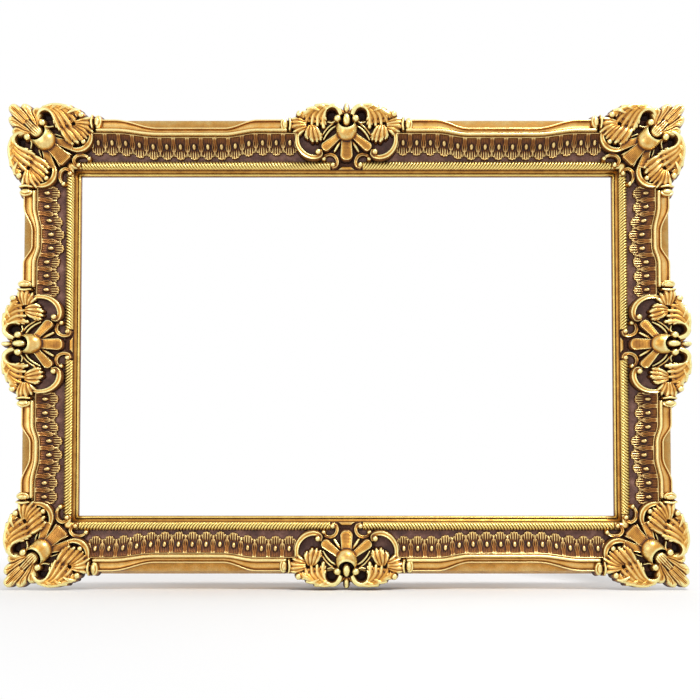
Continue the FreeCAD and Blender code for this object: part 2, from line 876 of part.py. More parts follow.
def hanger_ring():
    """D-ring: bar, two legs and a bow, leaning in towards the rail's back."""
    r = ring_wire_radius
    width = ring_half_width
    parts = [Part.makeCylinder(r, 2 * width, V(-width, 0, 0), V(1, 0, 0))]
    for x in (-width, width):
        parts.append(Part.makeSphere(r, V(x, 0, 0)))
        parts.append(Part.makeCylinder(r, ring_leg_length, V(x, 0, 0), V(0, 1, 0)))
    bow = Part.makeTorus(width, r, V(0, ring_leg_length, 0), V(0, 0, 1), -180, 180, 180)
    ring = parts[0].multiFuse(parts[1:] + [bow])
    ring.rotate(V(0, 0, 0), V(1, 0, 0), ring_lean_degrees)
    return ring


def turn_button():
    """A flat button with round ends, its screw hole near one end, the long arm along +x."""
    radius = button_width / 2
    reach = button_length - button_width
    low = -button_lift - button_thickness
    plate = Part.makeBox(reach, button_width, button_thickness, V(0, -radius, low))
    for x in (0, reach):
        plate = plate.fuse(Part.makeCylinder(radius, button_thickness, V(x, 0, low)))
    hole = Part.makeCylinder(screw_shank_radius + screw_hole_clearance, overrun, V(0, 0, -overrun / 2))
    return plate.cut(hole).removeSplitter()


def hanger_places():
    """Both hangers: name, and the ring axis's place on the back."""
    reach = half_width + hanger_from_sight
    return [("left", -reach, hanger_above_centre), ("right", reach, hanger_above_centre)]


def on_back(shape, x, z):
    """Put a shape drawn from the front, its y up the frame, at a place on the backs' plane."""
    placed = stand(shape)
    placed.translate(V(x, 0, z))
    return placed


def button_places():
    """The turn buttons: name, x, z and the turn that lays the long arm along the rail."""
    out = rebate_width + button_from_rebate
    level = half_height + out
    side = half_width + out
    apart = half_width * long_side_button_share
    return [
        ("turn_button_top_left", -apart, level, 0),
        ("turn_button_top_right", apart, level, 180),
        ("turn_button_right", side, 0.0, -90),
        ("turn_button_bottom_right", apart, -level, 180),
        ("turn_button_bottom_left", -apart, -level, 0),
        ("turn_button_left", -side, 0.0, -90),
    ]


def button_on_back(shape, x, z, turn):
    """Turn a button in the backs' plane and put it in its place."""
    turned = shape.copy()
    turned.rotate(V(0, 0, 0), V(0, 0, 1), turn)
    return on_back(turned, x, z)


def bumper_places():
    """The two bumpers, at the lower corners."""
    return [
        (way * (half_width + bumper_from_sight), -(half_height + bumper_from_sight)) for way in (-1, 1)
    ]


# Assembly

def frame_nodes():
    """Every piece of the frame by name."""
    nodes = {}
    holes = []
    nails = [on_corner(nail, corner) for corner in corner_turns for nail in corner_nails()]
    nodes["mitre_v_nails"] = Part.makeCompound(nails)

    strap, ring = hanger_strap(), hanger_ring()
    hanger_screws = []
    for name, x, z in hanger_places():
        for shape, node in ((strap, "hanger_strap_" + name), (ring, "hanger_ring_" + name)):
            low = shape.copy()
            low.translate(V(0, 0, -knuckle_radius))
            nodes[node] = on_back(low, x, z)
        for below in strap_screw_places():
            fastener = screw(screw_length)
            fastener.translate(V(0, 0, -strap_thickness))
            hanger_screws.append(on_back(fastener, x, z - below))
            holes.append(on_back(shank_hole(0, 0, screw_length), x, z - below))
    nodes["hanger_screws"] = Part.makeCompound(hanger_screws)

    button_screws = []
    for name, x, z, turn in button_places():
        nodes[name] = button_on_back(turn_button(), x, z, turn)
        fastener = screw(button_screw_length)
        fastener.translate(V(0, 0, -2 * button_lift - button_thickness))
        button_screws.append(on_back(fastener, x, z))
        holes.append(on_back(shank_hole(0, 0, button_screw_length), x, z))
    nodes["turn_button_screws"] = Part.makeCompound(button_screws)

    bumpers = []
    for x, z in bumper_places():
        disc = Part.makeCylinder(bumper_radius, bumper_thickness, V(0, 0, -bumper_thickness))
        bumpers.append(on_back(disc, x, z))
    nodes["wall_bumpers"] = Part.makeCompound(bumpers)

    for side, half in side_halves.items():
        rail = on_side(mitred(rail_profile, half), side)
        nodes["rail_" + side] = rail.cut(nails + holes)
        nodes["sight_slip_" + side] = on_side(slip_bar(half), side)

    ends = {
        "top": ("left", "right"),
        "bottom": ("right", "left"),
        "right": ("upper", "lower"),
        "left": ("lower", "upper"),
    }
    for long_sides, sides in ((True, ("top", "bottom")), (False, ("left", "right"))):
        half = side_halves[sides[0]]
        shares = long_sweep_shares if long_sides else short_sweep_shares
        count = units_on_long_run if long_sides else units_on_short_run
        across = long_side_half_casting if long_sides else short_side_half_casting
        out = long_side_casting_reach if long_sides else short_side_casting_reach
        centre = centre_casting(across, out)
        runs = {
            "swept_rail": swept_run(half, across, shares),
            "leaf_frieze": frieze_run(half, across, count, shares),
            "gadroon": gadroon_run(half, across),
        }
        for side in sides:
            nodes["centre_cartouche_" + side] = on_side(centre, side)
            before, after = ends[side]
            for kind, run in runs.items():
                other = run.mirror(V(0, 0, 0), V(1, 0, 0))
                nodes[f"{kind}_{side}_{after}"] = on_side(run, side)
                nodes[f"{kind}_{side}_{before}"] = on_side(other, side)

    corner = corner_casting()
    for name in corner_turns:
        nodes["corner_cartouche_" + name] = on_corner(corner, name)
    return nodes


os.makedirs("parts", exist_ok=True)
for node, shape in frame_nodes().items():
    shape.exportStep(f"parts/{node}.step")
    print(node, len(shape.Solids), "solids", len(shape.Faces), "faces", round(shape.Volume / 1000, 1), "cm3")
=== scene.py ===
# Looks of the ornate gilded frame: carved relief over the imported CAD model.
#
# Ornament is drawn in plan, in millimetres, as part.py does it: x runs along a side from its
# middle, y is the distance outward from the sight edge and the height is above the wall.
# A corner's plan starts at the sight corner, and its distance outward is the larger of x and y.
# A height field is drawn with strokes, domes and masses, then cut where it meets the rail.

import math

import bmesh
import bpy
import numpy as np
from mathutils import Matrix, Vector


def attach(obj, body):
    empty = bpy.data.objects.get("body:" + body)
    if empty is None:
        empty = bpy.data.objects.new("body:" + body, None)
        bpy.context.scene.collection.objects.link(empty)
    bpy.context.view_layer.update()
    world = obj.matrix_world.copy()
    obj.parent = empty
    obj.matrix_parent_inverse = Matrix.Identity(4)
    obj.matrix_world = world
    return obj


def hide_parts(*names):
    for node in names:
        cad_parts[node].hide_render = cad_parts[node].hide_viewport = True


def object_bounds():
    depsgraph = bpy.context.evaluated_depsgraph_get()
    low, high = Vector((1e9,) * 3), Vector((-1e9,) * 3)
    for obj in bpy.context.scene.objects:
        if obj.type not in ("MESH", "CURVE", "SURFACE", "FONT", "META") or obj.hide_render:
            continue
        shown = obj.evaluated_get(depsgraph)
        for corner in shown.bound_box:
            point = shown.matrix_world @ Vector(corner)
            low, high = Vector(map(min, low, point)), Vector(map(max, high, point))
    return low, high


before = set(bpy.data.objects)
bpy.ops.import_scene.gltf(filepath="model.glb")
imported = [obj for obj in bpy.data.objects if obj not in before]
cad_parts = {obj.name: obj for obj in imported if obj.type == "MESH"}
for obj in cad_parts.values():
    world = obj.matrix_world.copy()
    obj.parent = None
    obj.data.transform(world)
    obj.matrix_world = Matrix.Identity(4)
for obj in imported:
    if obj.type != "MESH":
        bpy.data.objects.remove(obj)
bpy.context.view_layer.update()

MM = 0.001

# Sizes repeated from the CAD source, in millimetres
half_width = 452.0
half_height = 288.5
gadroon_start = 9.65
gadroon_end = 23.85
gadroon_seat = 18.0
gadroon_foot = 3.4
gadroon_height = 10.5
recess_start = 23.9
recess_height = 21.0
plateau_inner = 72.0
plateau_outer = 90.5
plateau_height = 33.0
swept_inner = 68.0
swept_outer = 90.0
inner_sweep = 7.0
outer_sweep = 14.0
frieze_width = 34.0
cove_top = 39.0
cove_sag = 2.2
long_frieze_pitch = 23.0
casting_back = 24.0
rebate_depth = 8.0
corner_insets = {"swept": 36.0, "frieze": 21.0, "gadroon": 3.0}
end_shares = {"swept": 0.955, "frieze": 0.757, "gadroon": 0.243}
long_sweep_shares = (0.08, 0.32, 0.68, 0.86)
short_sweep_shares = (0.14, 0.42, 0.58, 0.78)
long_casting = (111.0, 117.0)
short_casting = (106.0, 124.0)

# Grid cell, fall for each millimetre outside a form, and the height of nothing
cell = 0.5
cliff = 9.0
nowhere = -60.0

# How far a casting's floor lies in the rail, and the skin and the floor of a scroll's eye
casting_sink = 0.6
eye_skin = 0.8
eye_floor = 31.0
# The lobes between a fan's guides lie this much lower, and their last span is this share as long
lobe_sink = 1.3
lobe_short = 0.45
# Tops of the plain grounds under the leaves and under the arms
leaf_ground_top = 42.5
arm_ground_top = 46.5

# Blur widths that part crests from recesses, the depth of a recess painted wholly dark, how much
# painted shade darkens a steep wall, and how high above its floor a casting is quite clear of the rail
wide_blur = 7.0
middle_blur = 2.6
fine_blur = 1.1
full_depth = 7.0
wall_shade = 0.55
clear_height = 20.0
# How far a gadroon rib leans across the moulding, and how deep the grooves between ribs are
rib_lean = 8.6
rib_groove = 2.9
# The plain elbow of the gadroon has no recess or crest of its own, so it is painted paler, as a painted
# highlight on its crest
elbow_highlight_tone = 1.35


# Height fields

def curve(a, b, c, d, t):
    """Places between b and c on a smooth line that also runs through a and d."""
    second = 2 * a - 5 * b + 4 * c - d
    third = 3 * b - a - 3 * c + d
    return (2 * b + (c - a) * t + second * t**2 + third * t**3) / 2


def spline(rows):
    """A smooth line through rows of numbers."""
    p = np.array(rows, float)
    ends = np.vstack([2 * p[0] - p[1], p, 2 * p[-1] - p[-2]])
    t = np.linspace(0, 1, 7, endpoint=False)[:, None]
    spans = [curve(*four, t) for four in zip(ends, ends[1:], ends[2:], ends[3:])]
    return np.vstack(spans + [p[-1:]])


def rounded(outline):
    """A closed outline through the same points with its corners rounded."""
    p = np.array(outline, float)
    t = np.linspace(0, 1, 5, endpoint=False)[:, None]
    return np.vstack([
        curve(*(p[(k + n) % len(p)] for n in (-1, 0, 1, 2)), t) for k in range(len(p))
    ])


def blurred(heights, sigma):
    """Gaussian blur, sigma in cells."""
    reach = max(1, int(3 * sigma))
    offsets = np.arange(-reach, reach + 1)
    weights = np.exp(-0.5 * (offsets / sigma) ** 2)
    weights /= weights.sum()
    for axis, margins in enumerate((((reach, reach), (0, 0)), ((0, 0), (reach, reach)))):
        padded = np.pad(heights, margins, mode="edge")
        total = np.zeros_like(heights)
        for k, w in enumerate(weights):
            window = slice(k, k + heights.shape[axis])
            total += w * (padded[window] if axis == 0 else padded[:, window])
        heights = total
    return heights


class Field:
    """Heights over a plan grid. Strokes, domes, petals and masses only ever raise it."""

    def __init__(self, low, high, step=cell):
        self.step = step
        self.xs = np.arange(low[0], high[0] + step / 2, step)
        self.ys = np.arange(low[1], high[1] + step / 2, step)
        self.x, self.y = np.meshgrid(self.xs, self.ys)
        self.h = np.full(self.x.shape, nowhere)

    def around(self, x, y, reach):
        """The part of the grid within reach of some places."""
        i = slice(*np.searchsorted(self.xs, (np.min(x) - reach, np.max(x) + reach)))
        j = slice(*np.searchsorted(self.ys, (np.min(y) - reach, np.max(y) + reach)))
        return j, i

    def rim(self):
        """Where the grid ends."""
        beyond_x = (self.x <= self.xs[0]) | (self.x >= self.xs[-1])
        return beyond_x | (self.y <= self.ys[0]) | (self.y >= self.ys[-1])

    def raise_to(self, where, heights):
        self.h[where] = np.maximum(self.h[where], heights)

    def near(self, path):
        """Around a path of (x, y, top, half width): signed side, top and half width."""
        where = self.around(path[:, 0], path[:, 1], path[:, 3].max() + 4.0)
        x, y = self.x[where], self.y[where]
        best = np.full(x.shape, 1e9)
        side, top, half = np.zeros((3, *x.shape))
        for a, b in zip(path[:-1], path[1:]):
            dx, dy = b[0] - a[0], b[1] - a[1]
            length = math.hypot(dx, dy)
            if length < 1e-9:
                continue
            t = np.clip(((x - a[0]) * dx + (y - a[1]) * dy) / length**2, 0, 1)
            ex, ey = x - a[0] - t * dx, y - a[1] - t * dy
            away = np.hypot(ex, ey)
            closer = away < best
            best = np.where(closer, away, best)
            side = np.where(closer, np.where(dx * ey - dy * ex < 0, -away, away), side)
            top = np.where(closer, a[2] + t * (b[2] - a[2]), top)
            half = np.where(closer, a[3] + t * (b[3] - a[3]), half)
        return where, side, top, half

    def stroke(self, rows, drop, groove=0.0, dish=0.0):
        """A lobe, rib or band along a line through rows of (x, y, top, half width).

        It is round across and falls by drop at its edges. A groove parts it into two flutes,
        and a dish hollows it."""
        where, side, top, half = self.near(spline(rows))
        s = side / half
        u = np.minimum(np.abs(s), 1.0)
        z = top - drop * (1 - np.sqrt(1 - u**2))
        if groove:
            flutes = np.abs(np.sin(np.pi * (np.clip(s, -1, 1) + 1)))
            z -= groove * (1 - flutes) ** 2 * (u < 0.97)
        if dish:
            z -= dish * np.clip(1 - (u / 0.72) ** 2, 0, 1)
        self.raise_to(where, z - cliff * np.maximum(np.abs(side) - half, 0))

    def dome(self, x, y, across, along, top, drop, turn=0.0):
        """An oval dome: half sizes across and along, its long axis turned from the y axis."""
        where = self.around(x, y, max(across, along) + 4.0)
        c, s = math.cos(math.radians(turn)), math.sin(math.radians(turn))
        dx, dy = self.x[where] - x, self.y[where] - y
        a, b = (c * dx + s * dy) / across, (c * dy - s * dx) / along
        r = np.hypot(a, b)
        z = top - drop * (1 - np.sqrt(1 - np.minimum(r, 1.0) ** 2))
        self.raise_to(where, z - cliff * min(across, along) * np.maximum(r - 1, 0))

    def crescent(self, ball, far, radius, top, notch, notch_radius, floor):
        """A ball drawn out from its centre to a far point, with a round notch in it."""
        where = self.around(*ball, radius + math.dist(ball, far) + 3.0)
        x, y = self.x[where], self.y[where]
        dx, dy = far[0] - ball[0], far[1] - ball[1]
        t = np.clip(((x - ball[0]) * dx + (y - ball[1]) * dy) / (dx**2 + dy**2), 0, 1)
        away = np.hypot(x - ball[0] - t * dx, y - ball[1] - t * dy)
        z = top - radius + np.sqrt(np.maximum(radius**2 - away**2, 0))
        z -= cliff * np.maximum(away - radius, 0)
        from_notch = np.hypot(x - notch[0], y - notch[1])
        wall = floor + cliff * np.maximum(from_notch - notch_radius, 0)
        rounding = top - 4.0 * np.clip(1.5 - (from_notch - notch_radius), 0, 1.5) ** 2 / 1.5**2
        inside = from_notch < notch_radius + 0.8
        self.h[where] = np.where(inside, np.minimum(self.h[where], wall), self.h[where])
        self.raise_to(where, np.minimum(np.minimum(z, rounding), wall))

    def eye(self, x, y, radius, distance):
        """Sink a round hole with a dished floor that stays above the rail.

        Distance is how far outward from the sight edge each place of the grid is."""
        where = self.around(x, y, radius + 6)
        away = np.hypot(self.x[where] - x, self.y[where] - y)
        bowl = eye_floor + 2.0 * np.minimum(away / radius, 1) ** 2
        bowl += 7.0 * np.maximum(away - radius, 0)
        d = distance[where]
        skin = np.where(d < plateau_outer + 0.7, rail_surface(d) + eye_skin, nowhere)
        bowl = np.maximum(bowl, skin)
        sunk = np.minimum(self.h[where], bowl)
        self.h[where] = np.where(away < radius + 0.5, bowl, sunk)

    def knob(self, x, y, way):
        """An oval end knob, carved along the arc of its outer side: way is 1 if x grows there."""
        self.dome(x, y, 7.0, 11.2, 52, 8.0)
        arc = [
            (-5.6, -6.5, 1.4, 1.4), (0, -8.5, 2.2, 1.8), (3.4, 0, 2.4, 1.8),
            (0, 8.5, 2.2, 1.8), (-5.6, 6.5, 1.4, 1.4),
        ]
        self.carve([(x + way * dx, y + dy, depth, half) for dx, dy, depth, half in arc])

    def small_lobes(self, rows, spread_share):
        """Small lobes on both sides of a lobe's end, spread by a share of its half width."""
        run, end = rows[-1, :2] - rows[-2, :2], rows[-1]
        ux, uy = run / math.hypot(*run)
        outward = np.array((-uy, ux))
        for way in (-1, 1):
            for back, out, half in ((0.30, 1.0, 2.1), (0.75, 1.15, 2.2)):
                root = end[:2] - run * (back + 0.45)
                spread = way * spread_share * out * max(end[3], rows[-2, 3] * 0.8)
                tip = end[:2] - run * back + outward * spread
                middle = (root + tip) / 2 + outward * spread * 0.18
                top = end[2] + (rows[-2, 2] - end[2]) * back
                lobe = [(*root, top - 1.5, 1.6), (*middle, top - 0.4, half)]
                self.stroke(lobe + [(*tip, top - 1.6, half * 0.7)], drop=3.4)

    def fan(self, guides, tips, **style):
        """Lobes side by side through guide rows; the lobes between these end sooner.

        Tips is the spread of the small lobes on both sides of a lobe's end, in half widths."""
        guides = [np.array(rows, float) for rows in guides]
        for rows in guides:
            self.small_lobes(rows, tips)
        for first, second in zip(guides, guides[1:]):
            rows = first * 0.5 + second * 0.5
            rows[:, 2] -= lobe_sink
            rows[-1, :2] = rows[-2, :2] + (rows[-1, :2] - rows[-2, :2]) * lobe_short
            self.stroke(rows, **style)
        for rows in guides:
            self.stroke(rows, **style)

    def petal(self, root, tip, halves, tops, corner, hatch):
        """A flat petal, wider to its tip, with a raised border, a groove and hatching inside."""
        length = math.dist(root, tip)
        where = self.around(*root, length + max(halves) + 4.0)
        ux, uy = (tip[0] - root[0]) / length, (tip[1] - root[1]) / length
        x, y = self.x[where] - root[0], self.y[where] - root[1]
        along, across = x * ux + y * uy, np.abs(y * ux - x * uy)
        share = np.clip(along / length, 0, 1)
        half = halves[0] + (halves[1] - halves[0]) * share
        flank, end = half - across, length - along
        in_corner = np.hypot(np.maximum(corner - flank, 0), np.maximum(corner - end, 0))
        edge = np.minimum(np.minimum(flank, end), corner - in_corner)
        z = tops[0] + (tops[1] - tops[0]) * share + 1.2 * (1 - np.clip(across / half, 0, 1) ** 2)
        z += 1.0 * np.clip(edge / 0.5, 0, 1) * np.clip((1.7 - edge) / 0.6, 0, 1)
        z -= 0.9 * np.clip((edge - 1.3) / 0.5, 0, 1) * np.clip((2.9 - edge) / 0.5, 0, 1)
        z -= 0.8 * (0.5 + 0.5 * np.cos(2 * np.pi * along / hatch)) * np.clip((edge - 2.6) / 0.5, 0, 1)
        z -= 2.0 * np.clip(0.9 - edge, 0, 0.9) ** 2
        z -= cliff * np.maximum(-edge, 0) + cliff * np.maximum(-along, 0)
        self.raise_to(where, z)

    def mass(self, outline, top, drop, inset, ground=None):
        """A plain mass over an outline, falling by drop towards its edge within the inset.

        With a ground, the top is measured from that surface."""
        corners = np.array(outline, float)
        where = self.around(corners[:, 0], corners[:, 1], 6.0)
        x, y = self.x[where], self.y[where]
        away = np.full(x.shape, 1e9)
        inside = np.zeros(x.shape, bool)
        for a, b in zip(corners, np.roll(corners, -1, axis=0)):
            d = b - a
            t = np.clip(((x - a[0]) * d[0] + (y - a[1]) * d[1]) / (d @ d), 0, 1)
            away = np.minimum(away, np.hypot(x - a[0] - t * d[0], y - a[1] - t * d[1]))
            crosses = ((a[1] > y) != (b[1] > y)) & (
                x < d[0] * (y - a[1]) / (d[1] if abs(d[1]) > 1e-9 else 1e-9) + a[0]
            )
            inside ^= crosses
        fall = drop * np.clip(1 - away / inset, 0, 1) ** 2
        level = top if ground is None else top + ground[where]
        self.raise_to(where, np.where(inside, level - fall, level - drop - cliff * away))

    def carve(self, rows):
        """A V groove along a line through rows of (x, y, depth, half width)."""
        where, side, depth, half = self.near(spline(rows))
        u = np.minimum(np.abs(side) / half, 1.0)
        self.h[where] -= depth * (1 - u) ** 1.2

    def settle(self, sigma=0.55):
        """Round off what is finer than a cell."""
        low = self.h < nowhere / 2
        self.h = np.where(low, self.h, blurred(np.maximum(self.h, 0.0), sigma))


def rail_surface(distance):
    """Height of the rail's front at a distance outward from the sight edge."""
    rise, run = plateau_height - recess_height, plateau_inner - recess_start
    slope = recess_height + (distance - recess_start) * rise / run
    seat = np.where(distance < recess_start, gadroon_seat, slope)
    return np.minimum(seat, plateau_height)


def casting_floor(distance):
    """Where a casting ends below: just in the rail, and at its own back past the rail's top."""
    inside = rail_surface(distance) - casting_sink
    past = np.clip((distance - plateau_outer - 0.1) / 0.6, 0, 1)
    return inside * (1 - past) + casting_back * past


def casting_shade_tone(heights):
    """Low ornament is painted darker: painted shade with more of the brown wash."""
    return 0.72 + 0.28 * np.clip((heights - 36.0) / 14.0, 0, 1)


# Meshes from height fields

def clip_cells(g):
    """Quads, triangles, cut points and outline of the part of a grid where g is above zero."""
    rows, columns = g.shape
    index = np.arange(rows * columns).reshape(rows, columns)
    around = [index[:-1, :-1], index[:-1, 1:], index[1:, 1:], index[1:, :-1]]
    corners = np.stack(around, axis=-1).reshape(-1, 4)
    flat = g.ravel()
    count = (flat[corners] > 0).sum(axis=1)
    quads = corners[count == 4]
    mixed = corners[(count > 0) & (count < 4)]
    triangles = np.vstack([mixed[:, [0, 1, 2]], mixed[:, [0, 2, 3]]])
    flags = flat[triangles] > 0
    count = flags.sum(axis=1)
    whole = triangles[count == 3]
    cut_faces, cut_edges = [], []
    for wanted in (1, 2):
        chosen = triangles[count == wanted]
        odd = np.argmax(flags[count == wanted] == (wanted == 1), axis=1)
        each = np.arange(len(chosen))
        rolled = np.stack([chosen[each, (odd + k) % 3] for k in range(3)], axis=1)
        cut_faces.append(rolled)
        cut_edges += [rolled[:, [0, 1]], rolled[:, [0, 2]]]
    keys = np.sort(np.vstack(cut_edges), axis=1)
    pairs, number = np.unique(keys, axis=0, return_inverse=True)
    number = number.ravel()
    share = flat[pairs[:, 0]] / (flat[pairs[:, 0]] - flat[pairs[:, 1]])
    first = len(cut_faces[0])
    second = len(cut_faces[1])
    base = rows * columns
    a01, a02 = number[:first] + base, number[first:2 * first] + base
    b01, b02 = number[2 * first:2 * first + second] + base, number[2 * first + second:] + base
    one, two = cut_faces
    faces = [quads, whole, np.stack([one[:, 0], a01, a02], axis=1)]
    faces.append(np.stack([b01, two[:, 1], two[:, 2], b02], axis=1))
    outline = np.vstack([np.stack([a01, a02], axis=1), np.stack([b02, b01], axis=1)])
    return faces, pairs, share, outline


def at_pairs(values, pairs, share):
    """Values at the cut points."""
    flat = values.ravel()
    return flat[pairs[:, 0]] * (1 - share) + flat[pairs[:, 1]] * share


def add_attribute(mesh, label, values):
    """A number at each point, for the materials."""
    attribute = mesh.attributes.new(label, "FLOAT", "POINT")
    attribute.data.foreach_set("value", np.asarray(values).astype(np.float32))


def relief_mesh(name, field, floor, plan=None, shape=1.0, shade_tone=1.0, step_at=None):
    """A closed mesh between a field's heights and its floor, with attributes for the gilding.

    plan gives the plan places of the grid if they aren't its own x and y. Patina_and_shading is 0
    in a recess, 1 on a crest and about 0.5 on the flat, times the shade tone: brown wash and painted
    shade in the recesses and on steep walls, and a painted highlight on the crests. Lift is the
    height above the rail."""
    x, y = plan if plan else (field.x, field.y)
    body = np.maximum(field.h, floor)
    # Painted shading: recesses are painted dark, with the brown wash, and crests pale as a painted highlight
    cavity = body - blurred(body, middle_blur / field.step)
    cavity += 0.6 * (body - blurred(body, fine_blur / field.step))
    cavity += 0.3 * np.minimum(body - blurred(body, wide_blur / field.step), 0)
    # Painted shade: steep walls are painted darker still
    down, along = np.gradient(body, field.step)
    steep = np.clip((np.hypot(down, along) - 1.0) / 2.5, 0, 1)
    patina_and_shading = np.clip(0.5 + shape * cavity / full_depth, 0, 1) * (1 - wall_shade * steep) * shade_tone
    lift = np.clip((body - floor) / clear_height, 0, 1)
    faces, pairs, share, outline = clip_cells(field.h - floor)
    grids = (x, y, body, patina_and_shading, lift)
    values = [np.concatenate([v.ravel(), at_pairs(v, pairs, share)]) for v in grids]
    used = np.unique(np.concatenate([f.ravel() for f in faces]))
    renumber = np.full(len(values[0]), -1)
    renumber[used] = np.arange(len(used))
    xs, ys, zs, patina_and_shading, lift = (v[used] for v in values)
    points = np.stack([xs, ys, zs], axis=1)
    polygons = [tuple(f) for group in faces for f in renumber[group].tolist()]
    cap_points, cap_faces = cap_of(points, renumber[outline], floor_at=step_at)
    start = len(points)
    points = np.vstack([points, cap_points]) if len(cap_points) else points
    polygons += cap_faces
    mesh = bpy.data.meshes.new(name)
    mesh.from_pydata(points.tolist(), [], polygons)
    extra = len(points) - start
    for label, data in (("patina_and_shading", patina_and_shading), ("lift", lift)):
        add_attribute(mesh, label, np.concatenate([data, np.zeros(extra)]))
    mesh.shade_smooth()
    return mesh


def cap_of(points, outline, floor_at):
    """Faces that close the underside over an outline, stepped where floor_at says."""
    bm = bmesh.new()
    ends = np.unique(outline)
    made = {int(n): bm.verts.new((points[n][0], points[n][1], 0.0)) for n in ends}
    for number, vertex in made.items():
        vertex.index = number
    for a, b in outline.tolist():
        if a != b and not bm.edges.get((made[a], made[b])):
            bm.edges.new((made[a], made[b]))
    bmesh.ops.triangle_fill(bm, edges=bm.edges[:], use_beauty=False, normal=(0, 0, -1))
    known = {vertex: number for number, vertex in made.items()}
    if floor_at:
        for axis in (0, 1):
            for place in (plateau_outer + 0.1, plateau_outer + 0.7):
                spot = Vector((0, 0, 0))
                spot[axis] = place
                normal = Vector((0, 0, 0))
                normal[axis] = 1.0
                everything = bm.verts[:] + bm.edges[:] + bm.faces[:]
                bmesh.ops.bisect_plane(
                    bm, geom=everything, plane_co=spot, plane_no=normal, dist=1e-5
                )
    extra, faces = [], []
    numbers = {}
    for vertex in bm.verts:
        if vertex in known:
            numbers[vertex] = known[vertex]
        elif vertex.link_faces:
            numbers[vertex] = len(points) + len(extra)
            extra.append((vertex.co.x, vertex.co.y, floor_at(vertex.co.x, vertex.co.y)))
    for face in bm.faces:
        loop = [numbers[v] for v in face.verts]
        faces.append(tuple(reversed(loop)) if face.normal.z > 0 else tuple(loop))
    bm.free()
    return extra, faces


# Placing

side_turns = {"top": 0, "right": 90, "bottom": 180, "left": 270}
corner_turns = {"top_right": 0, "bottom_right": 90, "bottom_left": 180, "top_left": 270}
side_steps = {
    "top": (0, 0, half_height), "right": (half_width, 0, 0),
    "bottom": (0, 0, -half_height), "left": (-half_width, 0, 0),
}
stand = Matrix.Rotation(math.radians(90), 4, "X")
to_metres = Matrix.Scale(MM, 4)
mirror_x = Matrix.Scale(-1, 4, (1, 0, 0))


def side_place(side, mirrored):
    """The matrix that puts a plan mesh on its side, in metres."""
    turned = Matrix.Rotation(math.radians(side_turns[side]), 4, "Y") @ stand
    placed = to_metres @ Matrix.Translation(side_steps[side]) @ turned
    return placed @ mirror_x if mirrored else placed


def corner_place(corner):
    """The matrix that puts a corner's plan mesh in its corner, in metres."""
    up = half_height if corner.startswith("top") else -half_height
    across = half_width if corner.endswith("right") else -half_width
    turned = Matrix.Rotation(math.radians(corner_turns[corner]), 4, "Y") @ stand
    return to_metres @ Matrix.Translation((across, 0, up)) @ turned


def show(node_name, mesh, place, material):
    """The piece that stands for a CAD node, from a plan mesh and its place."""
    name = "gilt_" + node_name
    own = mesh.copy()
    own.name = name
    own.transform(place)
    if place.determinant() < 0:
        own.flip_normals()
    own.materials.clear()
    own.materials.append(material)
    piece = bpy.data.objects.new(name, own)
    bpy.context.scene.collection.objects.link(piece)
    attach(piece, "frame")
    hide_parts(node_name)


def draw_half(
    f, leaf_tips, leaf_drop, leaf_ground, leaf, sprig, arm_ground, arm, edge, rim, scroll, small_scroll, ribs
):
    """The forms that half a casting of either kind has, over two plain grounds."""
    f.mass(leaf_ground, leaf_ground_top, 5.0, 5.0)
    f.mass(arm_ground, arm_ground_top, 4.0, 5.0)
    f.fan(leaf, leaf_tips, drop=leaf_drop, groove=0.7)
    f.fan(sprig, 0.8, drop=4.2)
    f.fan(arm, 1.2, drop=4.6)
    for row in edge:
        f.stroke(row, drop=4.2, groove=0.9)
    f.stroke(rim, drop=3.2)
    f.stroke(scroll, drop=2.2, dish=1.9)
    f.stroke(small_scroll, drop=2.0, dish=1.7)
    for row in ribs:
        f.stroke(row, drop=2.4)


# Centre cartouche, right half, for the long sides: rows of (x, y, top, half width). The shell and
# the grounds are outlines of (x, y).

centre_rim = [
    (10.2, 85.0, 48, 2.2), (9.6, 95.5, 51.5, 3.4), (13.6, 105.0, 53.5, 4.2),
    (22, 109.8, 54.5, 4.4), (32, 109, 53, 3.6),
]
centre_arm = [
    [(16, 105.5, 51, 1.6), (25, 107.5, 52.5, 2.6), (33.5, 103, 52.5, 3.5),
     (39, 92, 51, 4.1), (38.6, 76.5, 47.5, 3.4)],
    [(18, 108.5, 52, 1.7), (29, 109.5, 53.5, 2.8), (40, 104, 53, 3.8),
     (47.5, 93.5, 51, 4.1), (49, 80, 47, 3.0)],
    [(20, 110.5, 52.5, 1.7), (33, 111.5, 54, 3.0), (46, 105.5, 53, 4.0),
     (55.5, 95.5, 51, 4.2), (58.5, 80.5, 46.5, 3.0)],
    [(22, 111.5, 52.5, 1.7), (37, 112, 54, 3.0), (52, 105.5, 53, 4.0),
     (63.5, 96.5, 51, 4.2), (69, 83.5, 46.5, 3.0)],
    [(24, 112.5, 52.5, 1.8), (41, 111.8, 54, 3.4), (56, 105, 53.5, 4.4),
     (69, 98, 52, 4.4), (78, 93.5, 50, 3.8)],
]
centre_edge = [
    [(33, 105.5, 53.5, 2.0), (41.5, 110.5, 55.2, 3.6), (51.5, 112.4, 51.5, 2.4)],
    [(46.5, 102.5, 53.5, 2.0), (55.5, 106.2, 54.6, 3.6), (65.5, 106.4, 50.5, 2.4)],
]
centre_leaf = [
    [(54, 79, 46, 1.8), (49.5, 73, 48, 3.0), (45.8, 65, 47, 3.4), (43.6, 56.5, 43, 2.4)],
    [(57, 79, 46.5, 1.8), (54.2, 71, 49, 3.0), (51.3, 62, 47.5, 3.4), (49.6, 53.5, 43, 2.4)],
    [(60, 79, 46.5, 1.8), (60, 71, 49, 3.0), (59, 62, 47.5, 3.4), (57, 53.5, 44, 2.8)],
    [(63, 79, 46, 1.8), (66, 72, 48, 3.0), (67, 65, 47, 3.2), (65.5, 58, 43, 2.2)],
]
